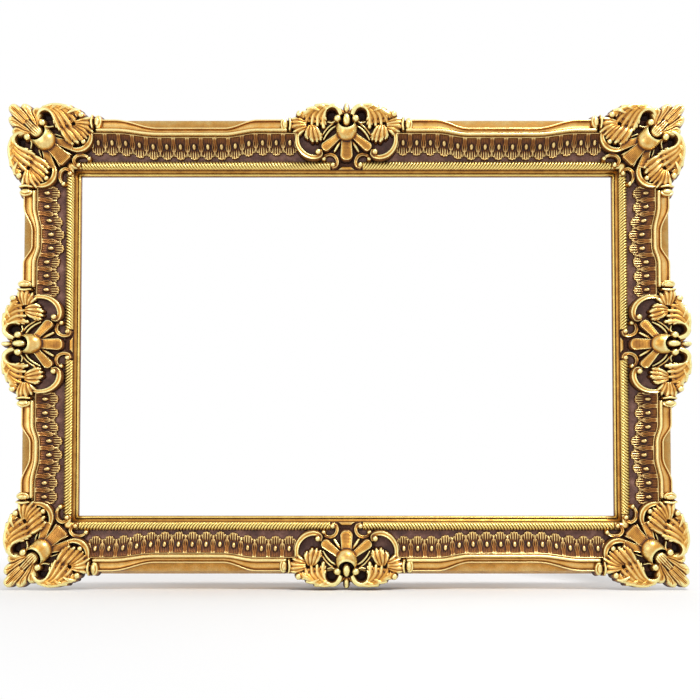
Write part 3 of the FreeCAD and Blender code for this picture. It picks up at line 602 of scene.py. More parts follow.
centre_sprig = [
    [(69, 85, 47, 2.0), (77, 88, 49.5, 2.8), (84, 89.5, 50, 3.2), (91, 89, 48.5, 2.6)],
    [(69, 82, 48, 2.2), (79, 83.5, 50.5, 3.2), (87, 84, 51, 3.4), (95, 84, 49, 2.6)],
    [(69, 79, 48, 2.2), (79, 79, 50, 3.2), (87, 78.5, 50, 3.4), (95.5, 76.5, 48, 2.6)],
    [(69, 76, 47, 2.2), (76, 74, 48.5, 3.0), (82, 72, 47.5, 3.0), (88.5, 69.5, 45, 2.2)],
    [(69, 73, 46, 2.0), (74, 69.5, 47, 2.6), (78, 66.5, 46, 2.6), (82, 63.5, 43, 1.8)],
]
centre_scroll = [
    (79.5, 71, 43, 2.4), (82.8, 62, 44, 3.1), (82.4, 50, 44, 3.6),
    (77.6, 39.3, 43, 3.9), (69.3, 31.4, 42, 4.1),
    (59, 27.6, 41, 4.0), (49.3, 28, 40, 3.4), (43, 32.2, 39.5, 2.8), (43.2, 38.2, 39.5, 2.4),
]
centre_small_scroll = [
    (38.4, 25.8, 31, 2.0), (36.2, 31.4, 32, 2.3), (28.3, 34.2, 32.5, 2.6), (20, 31.2, 32.5, 2.8),
    (15.6, 23.5, 32, 2.8), (17.0, 15.6, 31, 2.5), (22.5, 12.6, 30.5, 2.2),
]
centre_ribs = [
    [(16.5, 79.5, 44.5, 1.5), (25.5, 74, 44, 1.9), (33, 66, 42.5, 1.9), (38.5, 57, 40.5, 1.5)],
    [(19.5, 84.5, 44, 1.3), (29.5, 78, 43.5, 1.7), (37, 69.5, 42, 1.7), (42.5, 60.5, 40, 1.3)],
]
centre_spike = [(9.8, 53, 42.5, 1.6), (15.0, 46.0, 40, 2.6), (20, 38.5, 36.0, 2.2)]
centre_shell = [
    (-4, 21), (8, 21), (16, 28), (27, 33), (37, 33),
    (46, 42), (49, 56), (50, 70), (44, 80), (20, 88), (-4, 88),
]
centre_outer_petal = [(20, 84, 42, 2.6), (31, 80, 41, 4.0), (41, 72, 39.5, 4.6), (47, 63.5, 38, 3.6)]
centre_arm_ground = [
    (11, 88), (12, 102), (22, 108), (36, 109), (54, 101), (72, 94),
    (78, 90), (70, 87), (58, 85), (48, 84), (38, 80),
    (34, 84), (34, 94), (24, 106),
]
centre_leaf_ground = [
    (47, 72), (52, 60), (60, 56), (67, 64),
    (78, 70), (88, 74), (94, 80), (90, 86), (72, 87), (56, 82),
]


def centre_field(across, out):
    """The right and left halves of a centre cartouche of this half length and reach."""
    sx, sy = across / long_casting[0], out / long_casting[1]
    f = Field((-long_casting[0] - 6, 0), (long_casting[0] + 6, long_casting[1] + 5))
    f.mass([(-14, 9.8), (16, 9.8), (16, 26), (-14, 26)], 18.6, 0.4, 1.0)
    f.mass([(-9, 9.8), (14.5, 9.8), (8.5, 15.6), (-9, 15.6)], 23.0, 2.0, 1.6)
    f.mass([(8, 84), (8, 103), (17, 111), (33, 111), (41, 104), (41, 84)], 27.5, 0.5, 1.0)
    f.mass(centre_shell, 2.4, 0.6, 2.0, ground=rail_surface(f.y))
    draw_half(
        f, 1.1, 4.2, centre_leaf_ground, centre_leaf, centre_sprig, centre_arm_ground, centre_arm,
        centre_edge, centre_rim, centre_scroll, centre_small_scroll, centre_ribs,
    )
    f.stroke(centre_outer_petal, drop=2.0, dish=1.2)
    f.dome(47.8, 36.2, 5.0, 5.0, 43.5, 5.0)
    f.petal((12.5, 62.0), (40.5, 41.0), (5.6, 8.6), (46.0, 38.5), 7.4, 2.1)
    f.stroke(centre_spike, drop=2.5)
    f.petal((0, 58), (0, 22.6), (8.0, 11.2), (46.5, 35.5), 9.8, 2.2)
    f.eye(24.6, 97.2, 7.4, f.y)
    f.stroke([(17, 87, 50, 1.2), (24, 83.6, 47, 1.4), (31.5, 85.0, 46, 1.2)], drop=2.4)
    f.dome(79.4, 97.6, 4.9, 5.4, 54, 5.0)
    f.knob(104.6, 80.7, 1)
    f.stroke([(95.4, 91, 50.5, 1.6), (94.0, 81, 52, 2.2), (95.4, 71, 50.5, 1.6)], drop=2.5)
    f.dome(38.2, 26.8, 4.0, 4.0, 34, 4.0)
    f.dome(23.2, 16.4, 4.4, 4.4, 34.5, 4.4)
    f.crescent((0, 69.4), (0, 75.5), 17.6, 60, (0, 86.6), 12.2, 37.0)
    f.dome(15.2, 89.3, 5.9, 5.9, 56, 5.9)
    f.dome(0, 87.0, 5.9, 10.6, 57.5, 7.0)
    f.stroke([(0, 98, 44, 2.4), (0, 106, 47.5, 4.1), (0, 114.0, 46.5, 3.7)], drop=4.0)
    f.stroke([(1.5, 98.5, 44, 1.6), (5.6, 101.5, 46, 2.2), (8.8, 106.5, 45, 1.7)], drop=3)
    f.h = np.maximum(f.h, f.h[:, ::-1])
    f.settle()
    f.x, f.y = f.x * sx, f.y * sy
    return f


# Corner cartouche, the half beside the level side: rows of (x, y, top, half width). The palmette,
# the shell and the grounds are outlines of (x, y), and folds, veins and spine are rows of
# (x, y, depth, half width).

corner_rim = [
    (66.0, 80, 48, 2.4), (66.4, 91, 52, 3.6), (61.4, 101, 54, 4.6),
    (51.5, 105.4, 54.5, 4.8), (41, 102.5, 52.5, 3.6),
]
corner_arm = [
    [(61, 103.5, 51, 1.6), (51.5, 105.0, 52.5, 2.6), (42, 99, 52.5, 3.7),
     (36, 88, 51, 4.2), (30.2, 73, 47.5, 3.4)],
    [(60, 105.5, 52, 1.7), (48, 107.5, 53.5, 3.0), (36, 101, 53, 4.0),
     (28, 89.5, 51, 4.3), (21, 74.5, 47, 3.2)],
    [(59, 107, 52.5, 1.7), (45, 110, 54, 3.2), (30.5, 103.5, 53.5, 4.3),
     (20, 91.5, 51, 4.4), (11, 77.5, 46.5, 3.2)],
    [(58, 108.5, 52.5, 1.7), (42.5, 112, 54, 3.2), (26, 107, 53.5, 4.3),
     (12.5, 97, 51, 4.4), (1.5, 84.5, 46.5, 3.2)],
    [(57, 109.5, 52.5, 1.8), (40, 112.4, 54, 3.4), (22, 109.5, 53.5, 4.6),
     (6.5, 103.5, 52, 4.6), (-6, 95, 50, 3.8)],
]
corner_edge = [
    [(46, 103, 53, 2.0), (37.5, 109.5, 55.2, 3.8), (27.5, 113.4, 51.5, 2.4)],
    [(31, 103, 53.5, 2.0), (21.5, 108.5, 54.8, 3.8), (11, 111.0, 50.5, 2.4)],
    [(15, 98.5, 53, 2.0), (6, 102.8, 54.2, 3.6), (-3.5, 104.0, 50.5, 2.2)],
]
corner_leaf = [
    [(28, 75, 46, 2.2), (24.5, 67, 48.5, 3.7), (17.8, 58, 47.5, 4.3), (9.5, 49.5, 43.5, 3.2)],
    [(22, 77, 46.5, 2.2), (15.8, 69, 49.5, 3.9), (8.4, 60.5, 48.5, 4.3), (0.5, 51.5, 44, 3.2)],
    [(14, 78, 46.5, 2.2), (6.5, 71, 49, 3.7), (-0.6, 63, 48, 4.1), (-8, 55, 44.5, 3.2)],
    [(6, 78, 46, 2.0), (-2, 71.5, 47.5, 3.3), (-8.5, 65, 46.5, 3.5), (-14.5, 58.5, 43, 2.4)],
]
corner_sprig = [
    [(6, 77, 46, 2.0), (0, 72.5, 47.5, 2.9), (-5, 68, 46.5, 3.0), (-9.5, 63, 43.5, 2.2)],
    [(3, 79, 46.5, 2.0), (-5, 75, 48.5, 3.0), (-11.5, 70.5, 47.5, 3.2), (-17.5, 64.5, 44, 2.2)],
    [(2, 81, 47, 2.2), (-8, 78.5, 49.5, 3.2), (-17.5, 75, 48.5, 3.4), (-25, 69, 45, 2.4)],
    [(2, 83.5, 47.5, 2.2), (-8, 83.5, 50.5, 3.2), (-17.5, 82.5, 50.5, 3.6), (-26, 80, 48, 2.6)],
    [(2, 86, 47.5, 2.0), (-7, 88, 50, 3.0), (-16.5, 89.5, 50, 3.2), (-25.5, 90, 48.5, 2.6)],
]
corner_scroll = [
    (-20.3, 71, 43, 2.6), (-22, 60.5, 44, 3.5), (-18.4, 49.5, 44, 4.1), (-10, 42.0, 43, 4.3),
    (1.5, 39.4, 41.5, 4.0), (11.5, 41.2, 40, 3.0),
]
corner_small_scroll = [
    (-16.4, 25.4, 32, 2.0), (-13.2, 30.0, 34, 2.2), (-4.6, 32.4, 35.5, 2.5), (4.4, 30.4, 35, 2.7),
    (9.4, 24.0, 33, 2.8), (7.2, 16.4, 31, 2.5),
]
corner_palmette = [
    (70, 70), (60, 77), (60, 90), (58.5, 98), (60.5, 105.5), (67, 109.5),
    (72.5, 108.5), (75.5, 106.5), (79, 111),
    (84.5, 115), (90.5, 116), (94, 113.5), (96, 110.5), (99.5, 112),
    (103.5, 115), (108.5, 116), (113.2, 113.2),
]
corner_palmette_folds = [
    [(72, 79, 1.4, 1.4), (78, 88, 2.2, 1.8), (86, 99, 2.8, 1.9), (95, 109.5, 3.6, 1.9)],
    [(66.5, 79, 1.2, 1.4), (70, 89, 2.0, 1.7), (74.5, 98, 2.6, 1.8), (75.5, 106, 3.4, 1.8)],
]
corner_palmette_veins = [
    [(70, 82, 0.5, 0.8), (76, 93, 1.3, 1.2), (83.5, 102, 1.5, 1.2), (86.5, 113, 1.3, 1.0)],
    [(77, 84, 0.5, 0.8), (86, 94.5, 1.3, 1.1), (95, 103, 1.4, 1.1), (101, 112, 1.2, 1.0)],
    [(80.5, 101, 0.6, 0.7), (82, 107, 1.0, 0.9), (81, 111.5, 0.9, 0.8)],
    [(88, 103, 0.6, 0.7), (91, 109, 1.0, 0.9), (91.5, 113.5, 0.9, 0.8)],
    [(64.5, 82, 0.5, 0.8), (66.5, 91, 1.2, 1.1), (69.5, 98, 1.3, 1.1), (68, 106.5, 1.1, 0.9)],
    [(62.5, 92, 0.6, 0.8), (64, 98, 1.1, 0.9), (63.5, 104.5, 0.9, 0.8)],
    [(82, 86, 0.5, 0.8), (93, 97, 1.2, 1.1), (102, 105, 1.4, 1.1), (108, 112, 1.0, 0.9)],
]
corner_palmette_spine = [(84, 84, 1.4, 1.2), (95, 95, 2.2, 1.6), (109, 109, 1.8, 1.2)]
corner_bud_folds = [
    [(58.5, 66, 1.0, 1.2), (68, 76.5, 2.6, 1.8), (80, 88, 2.4, 1.6)],
    [(59, 61.5, 0.8, 1.0), (70, 73, 2.2, 1.6), (84, 86, 1.8, 1.4)],
]
corner_ribs = [
    [(39, 45, 44, 1.3), (25, 38.2, 41, 1.5), (13, 32.4, 36.5, 1.3)],
    [(45, 66, 44, 1.2), (33, 63.5, 43, 1.4), (22, 59, 41, 1.3)],
]
corner_shell = [
    (60, 60), (42, 72), (22, 66), (8, 56), (-2, 42), (8, 36), (14, 30),
    (17, 17), (30, 14), (36, 8), (60, 30),
]
corner_arm_ground = [
    (66, 84), (65, 98), (54, 107), (36, 110), (18, 107), (2, 98), (-3, 92),
    (4, 88), (12, 82), (22, 78), (31, 77),
    (36, 86), (42, 98), (56, 103),
]
corner_leaf_ground = [
    (24, 72), (18, 60), (6, 55), (-8, 59),
    (-20, 68), (-28, 78), (-28, 88), (-8, 89), (8, 84),
]


def corner_field():
    """A whole corner cartouche, the same on both sides of the diagonal."""
    f, g, balls = (Field((-50, -50), (121, 121)) for _ in range(3))
    f.mass([(-4, 66), (62, 60), (97, 72), (97, 97), (-4, 97)], 34.6, 0.5, 1.0)
    f.mass([(38, 80), (38, 106), (52, 110), (66, 104), (69, 80)], 27.5, 0.5, 1.0)
    f.mass(corner_shell, 2.4, 0.6, 2.0, ground=rail_surface(np.maximum(f.x, f.y)))
    draw_half(
        f, 1.0, 4.4, corner_leaf_ground, corner_leaf, corner_sprig, corner_arm_ground, corner_arm,
        corner_edge, corner_rim, corner_scroll, corner_small_scroll, corner_ribs,
    )
    f.petal((40, 54.5), (8.5, 46.0), (5.4, 8.6), (45.0, 38.5), 4.5, 2.1)
    away = np.maximum(f.x, f.y)
    f.eye(52.8, 91.0, 8.3, away)
    f.stroke([(57, 79, 50, 1.3), (49, 76.4, 47, 1.5), (40.5, 78, 46, 1.3)], drop=2.4)
    f.dome(-9.5, 52.5, 4.4, 4.4, 46, 4.4)
    f.dome(-6.8, 96.0, 5.0, 5.0, 54, 5.0)
    f.knob(-34.6, 85.0, -1)
    f.stroke([(-25.2, 95, 50.5, 1.6), (-23.8, 85, 52, 2.2), (-25.2, 75, 50.5, 1.6)], drop=2.5)
    f.dome(-16.4, 26.8, 4.0, 4.0, 34, 4.0)
    f.dome(1.8, 16.0, 4.4, 4.4, 33.5, 4.4)
    f.h = np.maximum(f.h, f.h.T)
    f.petal((42.5, 42.5), (20.6, 20.6), (9.0, 12.4), (46.0, 36.5), 4.5, 2.2)
    width = gadroon_end - gadroon_start
    across = np.clip(2 * (away - gadroon_start) / width - 1, -1, 1)
    rise = gadroon_height - gadroon_foot
    elbow = gadroon_seat + gadroon_foot + rise * np.sqrt(1 - across**2)
    inside = (np.abs(across) < 1) & (np.minimum(f.x, f.y) > 0.1 - corner_insets["gadroon"])
    f.raise_to(inside, elbow[inside])
    f.crescent((53.4, 53.4), (62.0, 62.0), 18.2, 60, (68.4, 68.4), 14.4, 38.0)
    g.mass(rounded(corner_palmette + [(y, x) for x, y in corner_palmette[-2:0:-1]]), 52.0, 6.5, 5.0)
    g.dome(74, 74, 13, 20, 55, 9, turn=-45)
    g.dome(67.8, 67.8, 9.4, 11.4, 58.5, 8, turn=-45)
    for row in corner_palmette_folds + corner_palmette_veins + corner_bud_folds:
        g.carve(row)
        g.carve([(y, x, depth, half) for x, y, depth, half in row])
    g.carve(corner_palmette_spine)
    f.h = np.maximum(f.h, g.h)
    balls.dome(57.9, 82.4, 5.9, 5.9, 56, 5.9)
    f.h = np.maximum(f.h, np.maximum(balls.h, balls.h.T))
    f.settle()
    return f


# Leaf frieze

def sweep(share, shares):
    """How far a run has swept inward at a share of its length from the corner end."""
    start, full, back, end = shares
    rising = np.clip((share - start) / (full - start), 0, 1)
    falling = np.clip((end - share) / (end - back), 0, 1)
    return (1 - np.cos(np.pi * np.minimum(rising, falling))) / 2


def swept_at(x, half, across, shares):
    """The sweep at a place along a side."""
    first = half - corner_insets["swept"]
    last = across * end_shares["swept"]
    return sweep((first - x) / (first - last), shares)


# Of a unit, at the usual pitch: fingers as (offset, tip, half width, top), and the rib of the
# niche and the fine ribs as rows of (offset, y, top, half width)
finger_rows = ((0.0, 34.2, 2.3, 13.4), (4.1, 32.6, 2.2, 13.0), (7.9, 29.0, 2.0, 12.6))
niche_rib = ((9.0, 1.5, 12.0, 1.1), (9.1, 9.0, 12.2, 1.1), (8.0, 16.0, 12.2, 1.1), (9.3, 22.5, 12.0, 1.1))
fine_ribs = (
    ((1.5, 2.5, 10.3, 0.9), (1.5, 8.0, 10.2, 0.85), (1.875, 13.0, 9.9, 0.7)),
    ((4.3, 2.5, 10.3, 0.9), (4.3, 8.0, 10.2, 0.85), (5.375, 13.0, 9.9, 0.7)),
    ((6.6, 2.5, 10.3, 0.8), (6.6, 10.0, 10.2, 0.8), (6.0, 18.0, 10.0, 0.7), (5.0, 22.0, 9.8, 0.6)),
)


def frieze_unit(o, c, w):
    """One unit: a striped niche round a bead over five fingers, and a spear on its right.

    c is its middle and w its pitch as a share of the usual one."""
    for way in (-1, 1):
        for offset, tip, half, top in finger_rows:
            if offset or way == 1:
                x = c + way * offset * w
                finger = [(x - way * 0.6, 18.5, top - 2.2, 1.4), (x, 24.5, top - 1.0, half)]
                o.stroke(finger + [(x, tip, top, half)], drop=2.2, dish=2.7)
        for rib, drop in ((niche_rib, 1.8), *((rib, 1.2) for rib in fine_ribs)):
            o.stroke([(c + way * offset * w, *rest) for offset, *rest in rib], drop=drop)
    x = c + 11.5 * w
    spear = [(x, 1.0, 11.8, 2.0 * w), (x, 14.0, 12.8, 1.9 * w), (x, 25.0, 12.6, 1.3)]
    o.stroke(spear + [(x, 30.5, 11.0, 0.7)], drop=2.2, groove=1.8)
    o.dome(c, 15.2, 4.4, 6.3, 11.0, 1.8)
    o.dome(c, 15.2, 3.4, 5.0, 14.6, 3.6)


def frieze_mesh(name, half, across, shares, count):
    """Frieze of one run, drawn in (along the run, distance in from the border)."""
    start = across * end_shares["frieze"]
    end = half - corner_insets["frieze"]
    pitch = (end - start) / count
    f = Field((start, 0.0), (end, frieze_width + 2.0))
    swept = swept_at(f.x, half, across, shares)
    border = swept_inner - inner_sweep * swept
    distance = border - f.y
    tip_height = rail_surface(border - frieze_width) + 4.0
    share = np.clip(f.y / frieze_width, 0, 1)
    cove = cove_top + (tip_height - cove_top) * share - 4 * cove_sag * share * (1 - share)
    o = Field((start, 0.0), (end, frieze_width + 2.0))
    for n in range(count):
        frieze_unit(o, start + pitch * (n + 0.5), pitch / long_frieze_pitch)
    for x in (start, end):
        spear = [(x, 1.0, 11.8, 2.0), (x, 14.0, 12.6, 1.9), (x, 25.0, 12.4, 1.3)]
        o.stroke(spear + [(x, 30.0, 11.0, 0.7)], drop=2.2)
    o.stroke([(start - 2, 0.9, 12.6, 1.3), (end + 2, 0.9, 12.6, 1.3)], drop=1.5)
    base = np.where(f.y < 21, 9.3, 8.6)
    base = np.where(f.y > 28.5, nowhere, base)
    f.h = cove + np.maximum(o.h, base) - 10.0
    f.h = np.where(np.maximum(o.h, base) < 0, nowhere, f.h)
    f.settle(0.5)
    floor = rail_surface(distance) - 0.5
    f.h = np.where(f.rim(), floor - 0.01, f.h)
    # Painted shade: the frieze is painted darker towards the swept rail
    shade_tone = 0.76 + 0.24 * np.clip((f.y - 17.0) / 9.0, 0, 1)
    return relief_mesh(name, f, floor, plan=(f.x, distance), shape=1.3, shade_tone=shade_tone)


# Gadroon moulding

def gadroon_mesh(name, half, across, pitch):
    """Slanted ribs on a half-round, each leaning out towards the corner."""
    start = across * end_shares["gadroon"]
    end = half - corner_insets["gadroon"]
    f = Field((start, gadroon_start - 0.5), (end, gadroon_end + 0.5), 0.6)
    t = np.clip((f.y - gadroon_start) / (gadroon_end - gadroon_start), 0, 1)
    ribs = round((end - start) / pitch)
    lean = rib_lean * (1 - (1 - t) ** 1.7)
    phase = (f.x - start - lean) * ribs / (end - start)
    groove = 1 - np.abs(np.sin(np.pi * phase))
    t = np.clip(t / (1 - 0.085 * groove**2), 0, 1)
    across_round = np.sqrt(np.clip(1 - (2 * t - 1) ** 2, 0, 1))
    seat = gadroon_seat + gadroon_foot
    depth = rib_groove * groove**2.0 * (0.35 + 0.65 * np.clip(across_round * 1.3, 0, 1))
    f.h = seat + (gadroon_height - gadroon_foot) * across_round - depth * (across_round > 0.05)
    outside = (f.y < gadroon_start) | (f.y > gadroon_end)
    f.h = np.where(outside, gadroon_seat - 1.0, f.h)
    f.settle(0.4)
    f.h = np.where(f.rim(), gadroon_seat - 1.2, f.h)
    return relief_mesh(name, f, np.full(f.h.shape, gadroon_seat - 0.5), shape=2.0)


# Swept rail and sight slip

def ring_mesh(name, rings, patina_and_shading):
    """A mesh through rings of points with end faces, and the painted shading round each ring."""
    size = len(rings[0])
    last = (len(rings) - 1) * size
    points = [tuple(p) for ring in rings for p in ring]
    faces = []
    for a in range(0, last, size):
        for k in range(size):
            n = (k + 1) % size
            faces.append((a + k, a + n, a + size + n, a + size + k))
    faces.append(tuple(reversed(range(size))))
    faces.append(tuple(range(last, last + size)))
    mesh = bpy.data.meshes.new(name)
    mesh.from_pydata(points, [], faces)
    add_attribute(mesh, "patina_and_shading", np.tile(patina_and_shading, len(rings)))
    add_attribute(mesh, "lift", np.ones(len(points)))
    bm = bmesh.new()
    bm.from_mesh(mesh)
    bmesh.ops.recalc_face_normals(bm, faces=bm.faces[:])
    bm.to_mesh(mesh)
    bm.free()
    mesh.shade_smooth()
    return mesh


def arc_points(a, b, bulge, count):
    """Points from a to b on a bowed line, ends included."""
    points = []
    for t in np.linspace(0, 1, count):
        bow = bulge * math.sqrt(max(0, 1 - (2 * t - 1) ** 2))
        points.append((a[0] + (b[0] - a[0]) * t, a[1] + (b[1] - a[1]) * t + bow))
    return points


def bead_shading(low, rise, count):
    """Painted shading over a bead: painted shade at both edges, and a painted highlight on its crest, higher
    by the rise.
    """
    return [low + rise * math.sin(math.pi * k / (count - 1)) for k in range(count)]


def swept_ring(x, swept):
    """The swept rail's section: two beads, a hollow between them and the flank outside."""
    inner = swept_inner - inner_sweep * swept
    outer = swept_outer - outer_sweep * swept
    bead_end, hollow_end = inner + 6.0, outer - 3.0
    profile = [(inner + 0.05, float(rail_surface(np.array(inner))) - 0.5), (inner + 0.05, 41.0)]
    # Painted shading: the inner wall and the edges of the hollow are painted dark as shade, the bead crests
    # pale as a painted highlight, and the flank darker towards the rail
    patina_and_shading = [0.1, 0.2]
    profile += arc_points((inner, 44.0), (bead_end, 44.2), 5.6, 11)
    patina_and_shading += bead_shading(0.55, 0.3, 11)
    profile += arc_points((bead_end + 0.3, 43.0), (hollow_end - 0.3, 42.4), -2.6, 9)
    patina_and_shading += [0.20, 0.44, 0.54, 0.60, 0.62, 0.60, 0.54, 0.44, 0.22]
    profile += arc_points((hollow_end, 43.2), (outer, 42.6), 2.4, 7)
    patina_and_shading += bead_shading(0.5, 0.4, 7)
    profile += [(outer + 0.3, 41.0), (outer + 1.4, 37.5), (plateau_outer - 0.4, 34.6)]
    patina_and_shading += [0.25, 0.48, 0.64]
    underside = plateau_height - 1.5
    profile += [(plateau_outer, plateau_height), (plateau_outer - 1, underside), (plateau_inner, underside)]
    patina_and_shading += [0.66, 0.3, 0.3]
    return [(x, d, z) for d, z in profile], patina_and_shading


def swept_mesh(name, half, across, shares):
    """Swept rail of one run, from its corner end to its centre end."""
    start = across * end_shares["swept"] - 6.0
    end = half - corner_insets["swept"] + 4.0
    places = np.linspace(start, end, int((end - start) / 3.0))
    rings = []
    for x in places:
        ring, patina_and_shading = swept_ring(x, float(swept_at(np.array(x), half, across, shares)))
        rings.append(ring)
    return ring_mesh(name, rings, patina_and_shading)


def slip_mesh(name, half):
    """Sight slip of one side, mitred at both ends: inner face, bead, groove, band."""
    profile = [(0.0, 12.0), (0.0, 14.4)]
    # Painted shading: the inner face and the groove are painted dark as shade, and the bead's crest pale as
    # a painted highlight
    patina_and_shading = [0.2, 0.35]
    profile += arc_points((0.35, 15.2), (4.0, 15.6), 1.9, 9)
    patina_and_shading += bead_shading(0.5, 0.35, 9)
    profile += [(4.25, 14.9), (4.9, 14.7), (5.2, 16.2), (5.6, 16.8)]
    profile += [(7.4, 17.9), (9.2, 19.0), (9.6, 18.9), (9.6, 12.0)]
    patina_and_shading += [0.12, 0.12, 0.45, 0.6, 0.5, 0.42, 0.2, 0.2]
    left, right = ([(way * (half + d), d, z) for d, z in profile] for way in (-1, 1))
    rings = []
    for t in (n / 40 for n in range(41)):
        rings.append([tuple(a[k] * (1 - t) + b[k] * t for k in range(3)) for a, b in zip(left, right)])
    return ring_mesh(name, rings, patina_and_shading)


# Materials

def new_material(name):
    """A material with its node tree and its shader."""
    material = bpy.data.materials.new(name)
    material.use_nodes = True
    tree = material.node_tree
    tree.nodes.clear()
    out = tree.nodes.new("ShaderNodeOutputMaterial")
    shader = tree.nodes.new("ShaderNodeBsdfPrincipled")
    tree.links.new(shader.outputs[0], out.inputs[0])
    return material, tree, shader


def node(tree, kind, links=(), **values):
    """A shader node with its values set and its inputs linked."""
    made = tree.nodes.new(kind)
    for key, value in values.items():
        setattr(made, key, value)
    for socket, source in links:
        if isinstance(source, (int, float, tuple)):
            made.inputs[socket].default_value = source
        else:
            tree.links.new(source, made.inputs[socket])
    return made


def object_place(tree):
    return node(tree, "ShaderNodeTexCoord").outputs["Object"]


def maths(tree, operation, *values):
    return node(tree, "ShaderNodeMath", list(enumerate(values)), operation=operation).outputs[0]


def mixed(tree, share, first, second, **how):
    """The first colour, or the second where the share is 1."""
    links = [(0, share), (6, first), (7, second)]
    return node(tree, "ShaderNodeMix", links, data_type="RGBA", **how).outputs[2]


def noise(tree, place, scale, detail, *more):
    links = [("Vector", place), ("Scale", scale), ("Detail", detail), *more]
    return node(tree, "ShaderNodeTexNoise", links).outputs[0]


def bump(tree, height, strength, distance, *more):
    links = [("Height", height), ("Strength", strength), ("Distance", distance), *more]
    return node(tree, "ShaderNodeBump", links).outputs[0]


def step_above(tree, source, edge, width):
    """0 below an edge, 1 past it, with a soft width."""
    links = [("Value", source), ("From Min", edge), ("From Max", edge + width)]
    return node(tree, "ShaderNodeMapRange", links).outputs[0]


def srgb(*values):
    """A colour as written on screen, in linear light."""
    linear = (v / 12.92 if v <= 0.04045 else ((v + 0.055) / 1.055) ** 2.4 for v in values)
    return (*linear, 1.0)


def ramp(tree, source, stops):
    """A colour ramp through stops of (place, colour or grey)."""
    made = tree.nodes.new("ShaderNodeValToRGB")
    elements = made.color_ramp.elements
    while len(elements) < len(stops):
        elements.new(0.5)
    for element, (place, colour) in zip(elements, stops):
        element.position = place
        element.color = colour if isinstance(colour, tuple) else (colour, colour, colour, 1)
    tree.links.new(source, made.inputs[0])
    return made.outputs[0]


def gilding(name, light_at, *colours):
    """Antique gilding: brown wash with painted shade in the recesses, warm gold, and pale gold as a
    painted highlight on the crests.

    The colours go from deep recess to crest, and light_at is the patina_and_shading value where the last is
    full."""
    material, tree, shader = new_material(name)
    place = object_place(tree)
    patina_and_shading = node(tree, "ShaderNodeAttribute", attribute_name="patina_and_shading").outputs["Fac"]
    lift = node(tree, "ShaderNodeAttribute", attribute_name="lift").outputs["Fac"]
    cloud = noise(tree, place, 55.0, 5.0, ("Roughness", 0.6))
    fine = noise(tree, place, 620.0, 3.0)
    shift = maths(tree, "MULTIPLY", maths(tree, "SUBTRACT", cloud, 0.5), 0.35)
    # Painted shade and highlight, shifted here and there by a random cloud of tone
    shading_and_wear = maths(tree, "ADD", patina_and_shading, shift)
    stops = zip((0.10, 0.34, 0.54, light_at), (srgb(*colour) for colour in colours))
    gold = ramp(tree, shading_and_wear, list(stops))
    # Painted shade with brown wash at the foot of a casting, where it meets the rail
    foot_wash_and_shade = ramp(tree, lift, [(0.06, 1.0), (0.20, 0.0)])
    foot_washed_and_shaded = mixed(tree, foot_wash_and_shade, gold, srgb(0.37, 0.21, 0.13))
    speck = ramp(tree, fine, [(0.42, 0.88), (0.62, 1.04)])
    colour = mixed(tree, 1.0, foot_washed_and_shaded, speck, blend_type="MULTIPLY")
    tree.links.new(colour, shader.inputs["Base Color"])
    tree.links.new(ramp(tree, shading_and_wear, [(0.15, 0.12), (0.5, 0.8)]), shader.inputs["Metallic"])
    tree.links.new(ramp(tree, shading_and_wear, [(0.15, 0.62), (0.6, 0.30)]), shader.inputs["Roughness"])
    normal = bump(tree, cloud, 0.12, 0.0008)
    normal = bump(tree, fine, 0.08, 0.0003, ("Normal", normal))
    tree.links.new(normal, shader.inputs["Normal"])
    return material


# Colour of the deepest recess: brown wash with painted shade. Each gilding runs from it through a shaded and
# a mid gold to a pale painted highlight
recess_wash_and_shade = (0.20, 0.09, 0.03)
casting_gold = gilding(
    "gilded_casting", 0.72, recess_wash_and_shade, (0.54, 0.32, 0.12), (0.89, 0.65, 0.29), (1.0, 0.95, 0.66)
)
rail_gold = gilding(
    "gilded_rail", 0.80, recess_wash_and_shade, (0.56, 0.34, 0.14), (0.90, 0.67, 0.33), (1.0, 0.92, 0.64)
)
frieze_gold = gilding(
    "gilded_frieze", 0.74, (0.19, 0.08, 0.03), (0.43, 0.24, 0.10), (0.63, 0.41, 0.18), (0.97, 0.86, 0.58)
)
gadroon_gold = gilding(
    "gilded_gadroon", 0.80, (0.24, 0.12, 0.03), (0.58, 0.37, 0.12), (0.88, 0.65, 0.27), (0.99, 0.91, 0.56)
)
slip_gold = gilding(
    "gilded_slip", 0.80, (0.22, 0.11, 0.04), (0.50, 0.31, 0.12), (0.76, 0.54, 0.23), (0.97, 0.86, 0.50)
)


def plain_material(name, colour, rough, metal, scale, contrast, bump_depth):
    """A simple finish with a little grain in its colour and surface."""
    material, tree, shader = new_material(name)
    grain = noise(tree, object_place(tree), scale, 5.0)
    dark = (*(c * (1 - contrast) for c in colour[:3]), 1.0)
    light = (*(min(1, c * (1 + contrast)) for c in colour[:3]), 1.0)
    tree.links.new(ramp(tree, grain, [(0.35, dark), (0.65, light)]), shader.inputs["Base Color"])
    shader.inputs["Metallic"].default_value = metal
    shader.inputs["Roughness"].default_value = rough
    tree.links.new(bump(tree, grain, 0.3, bump_depth), shader.inputs["Normal"])
    return material


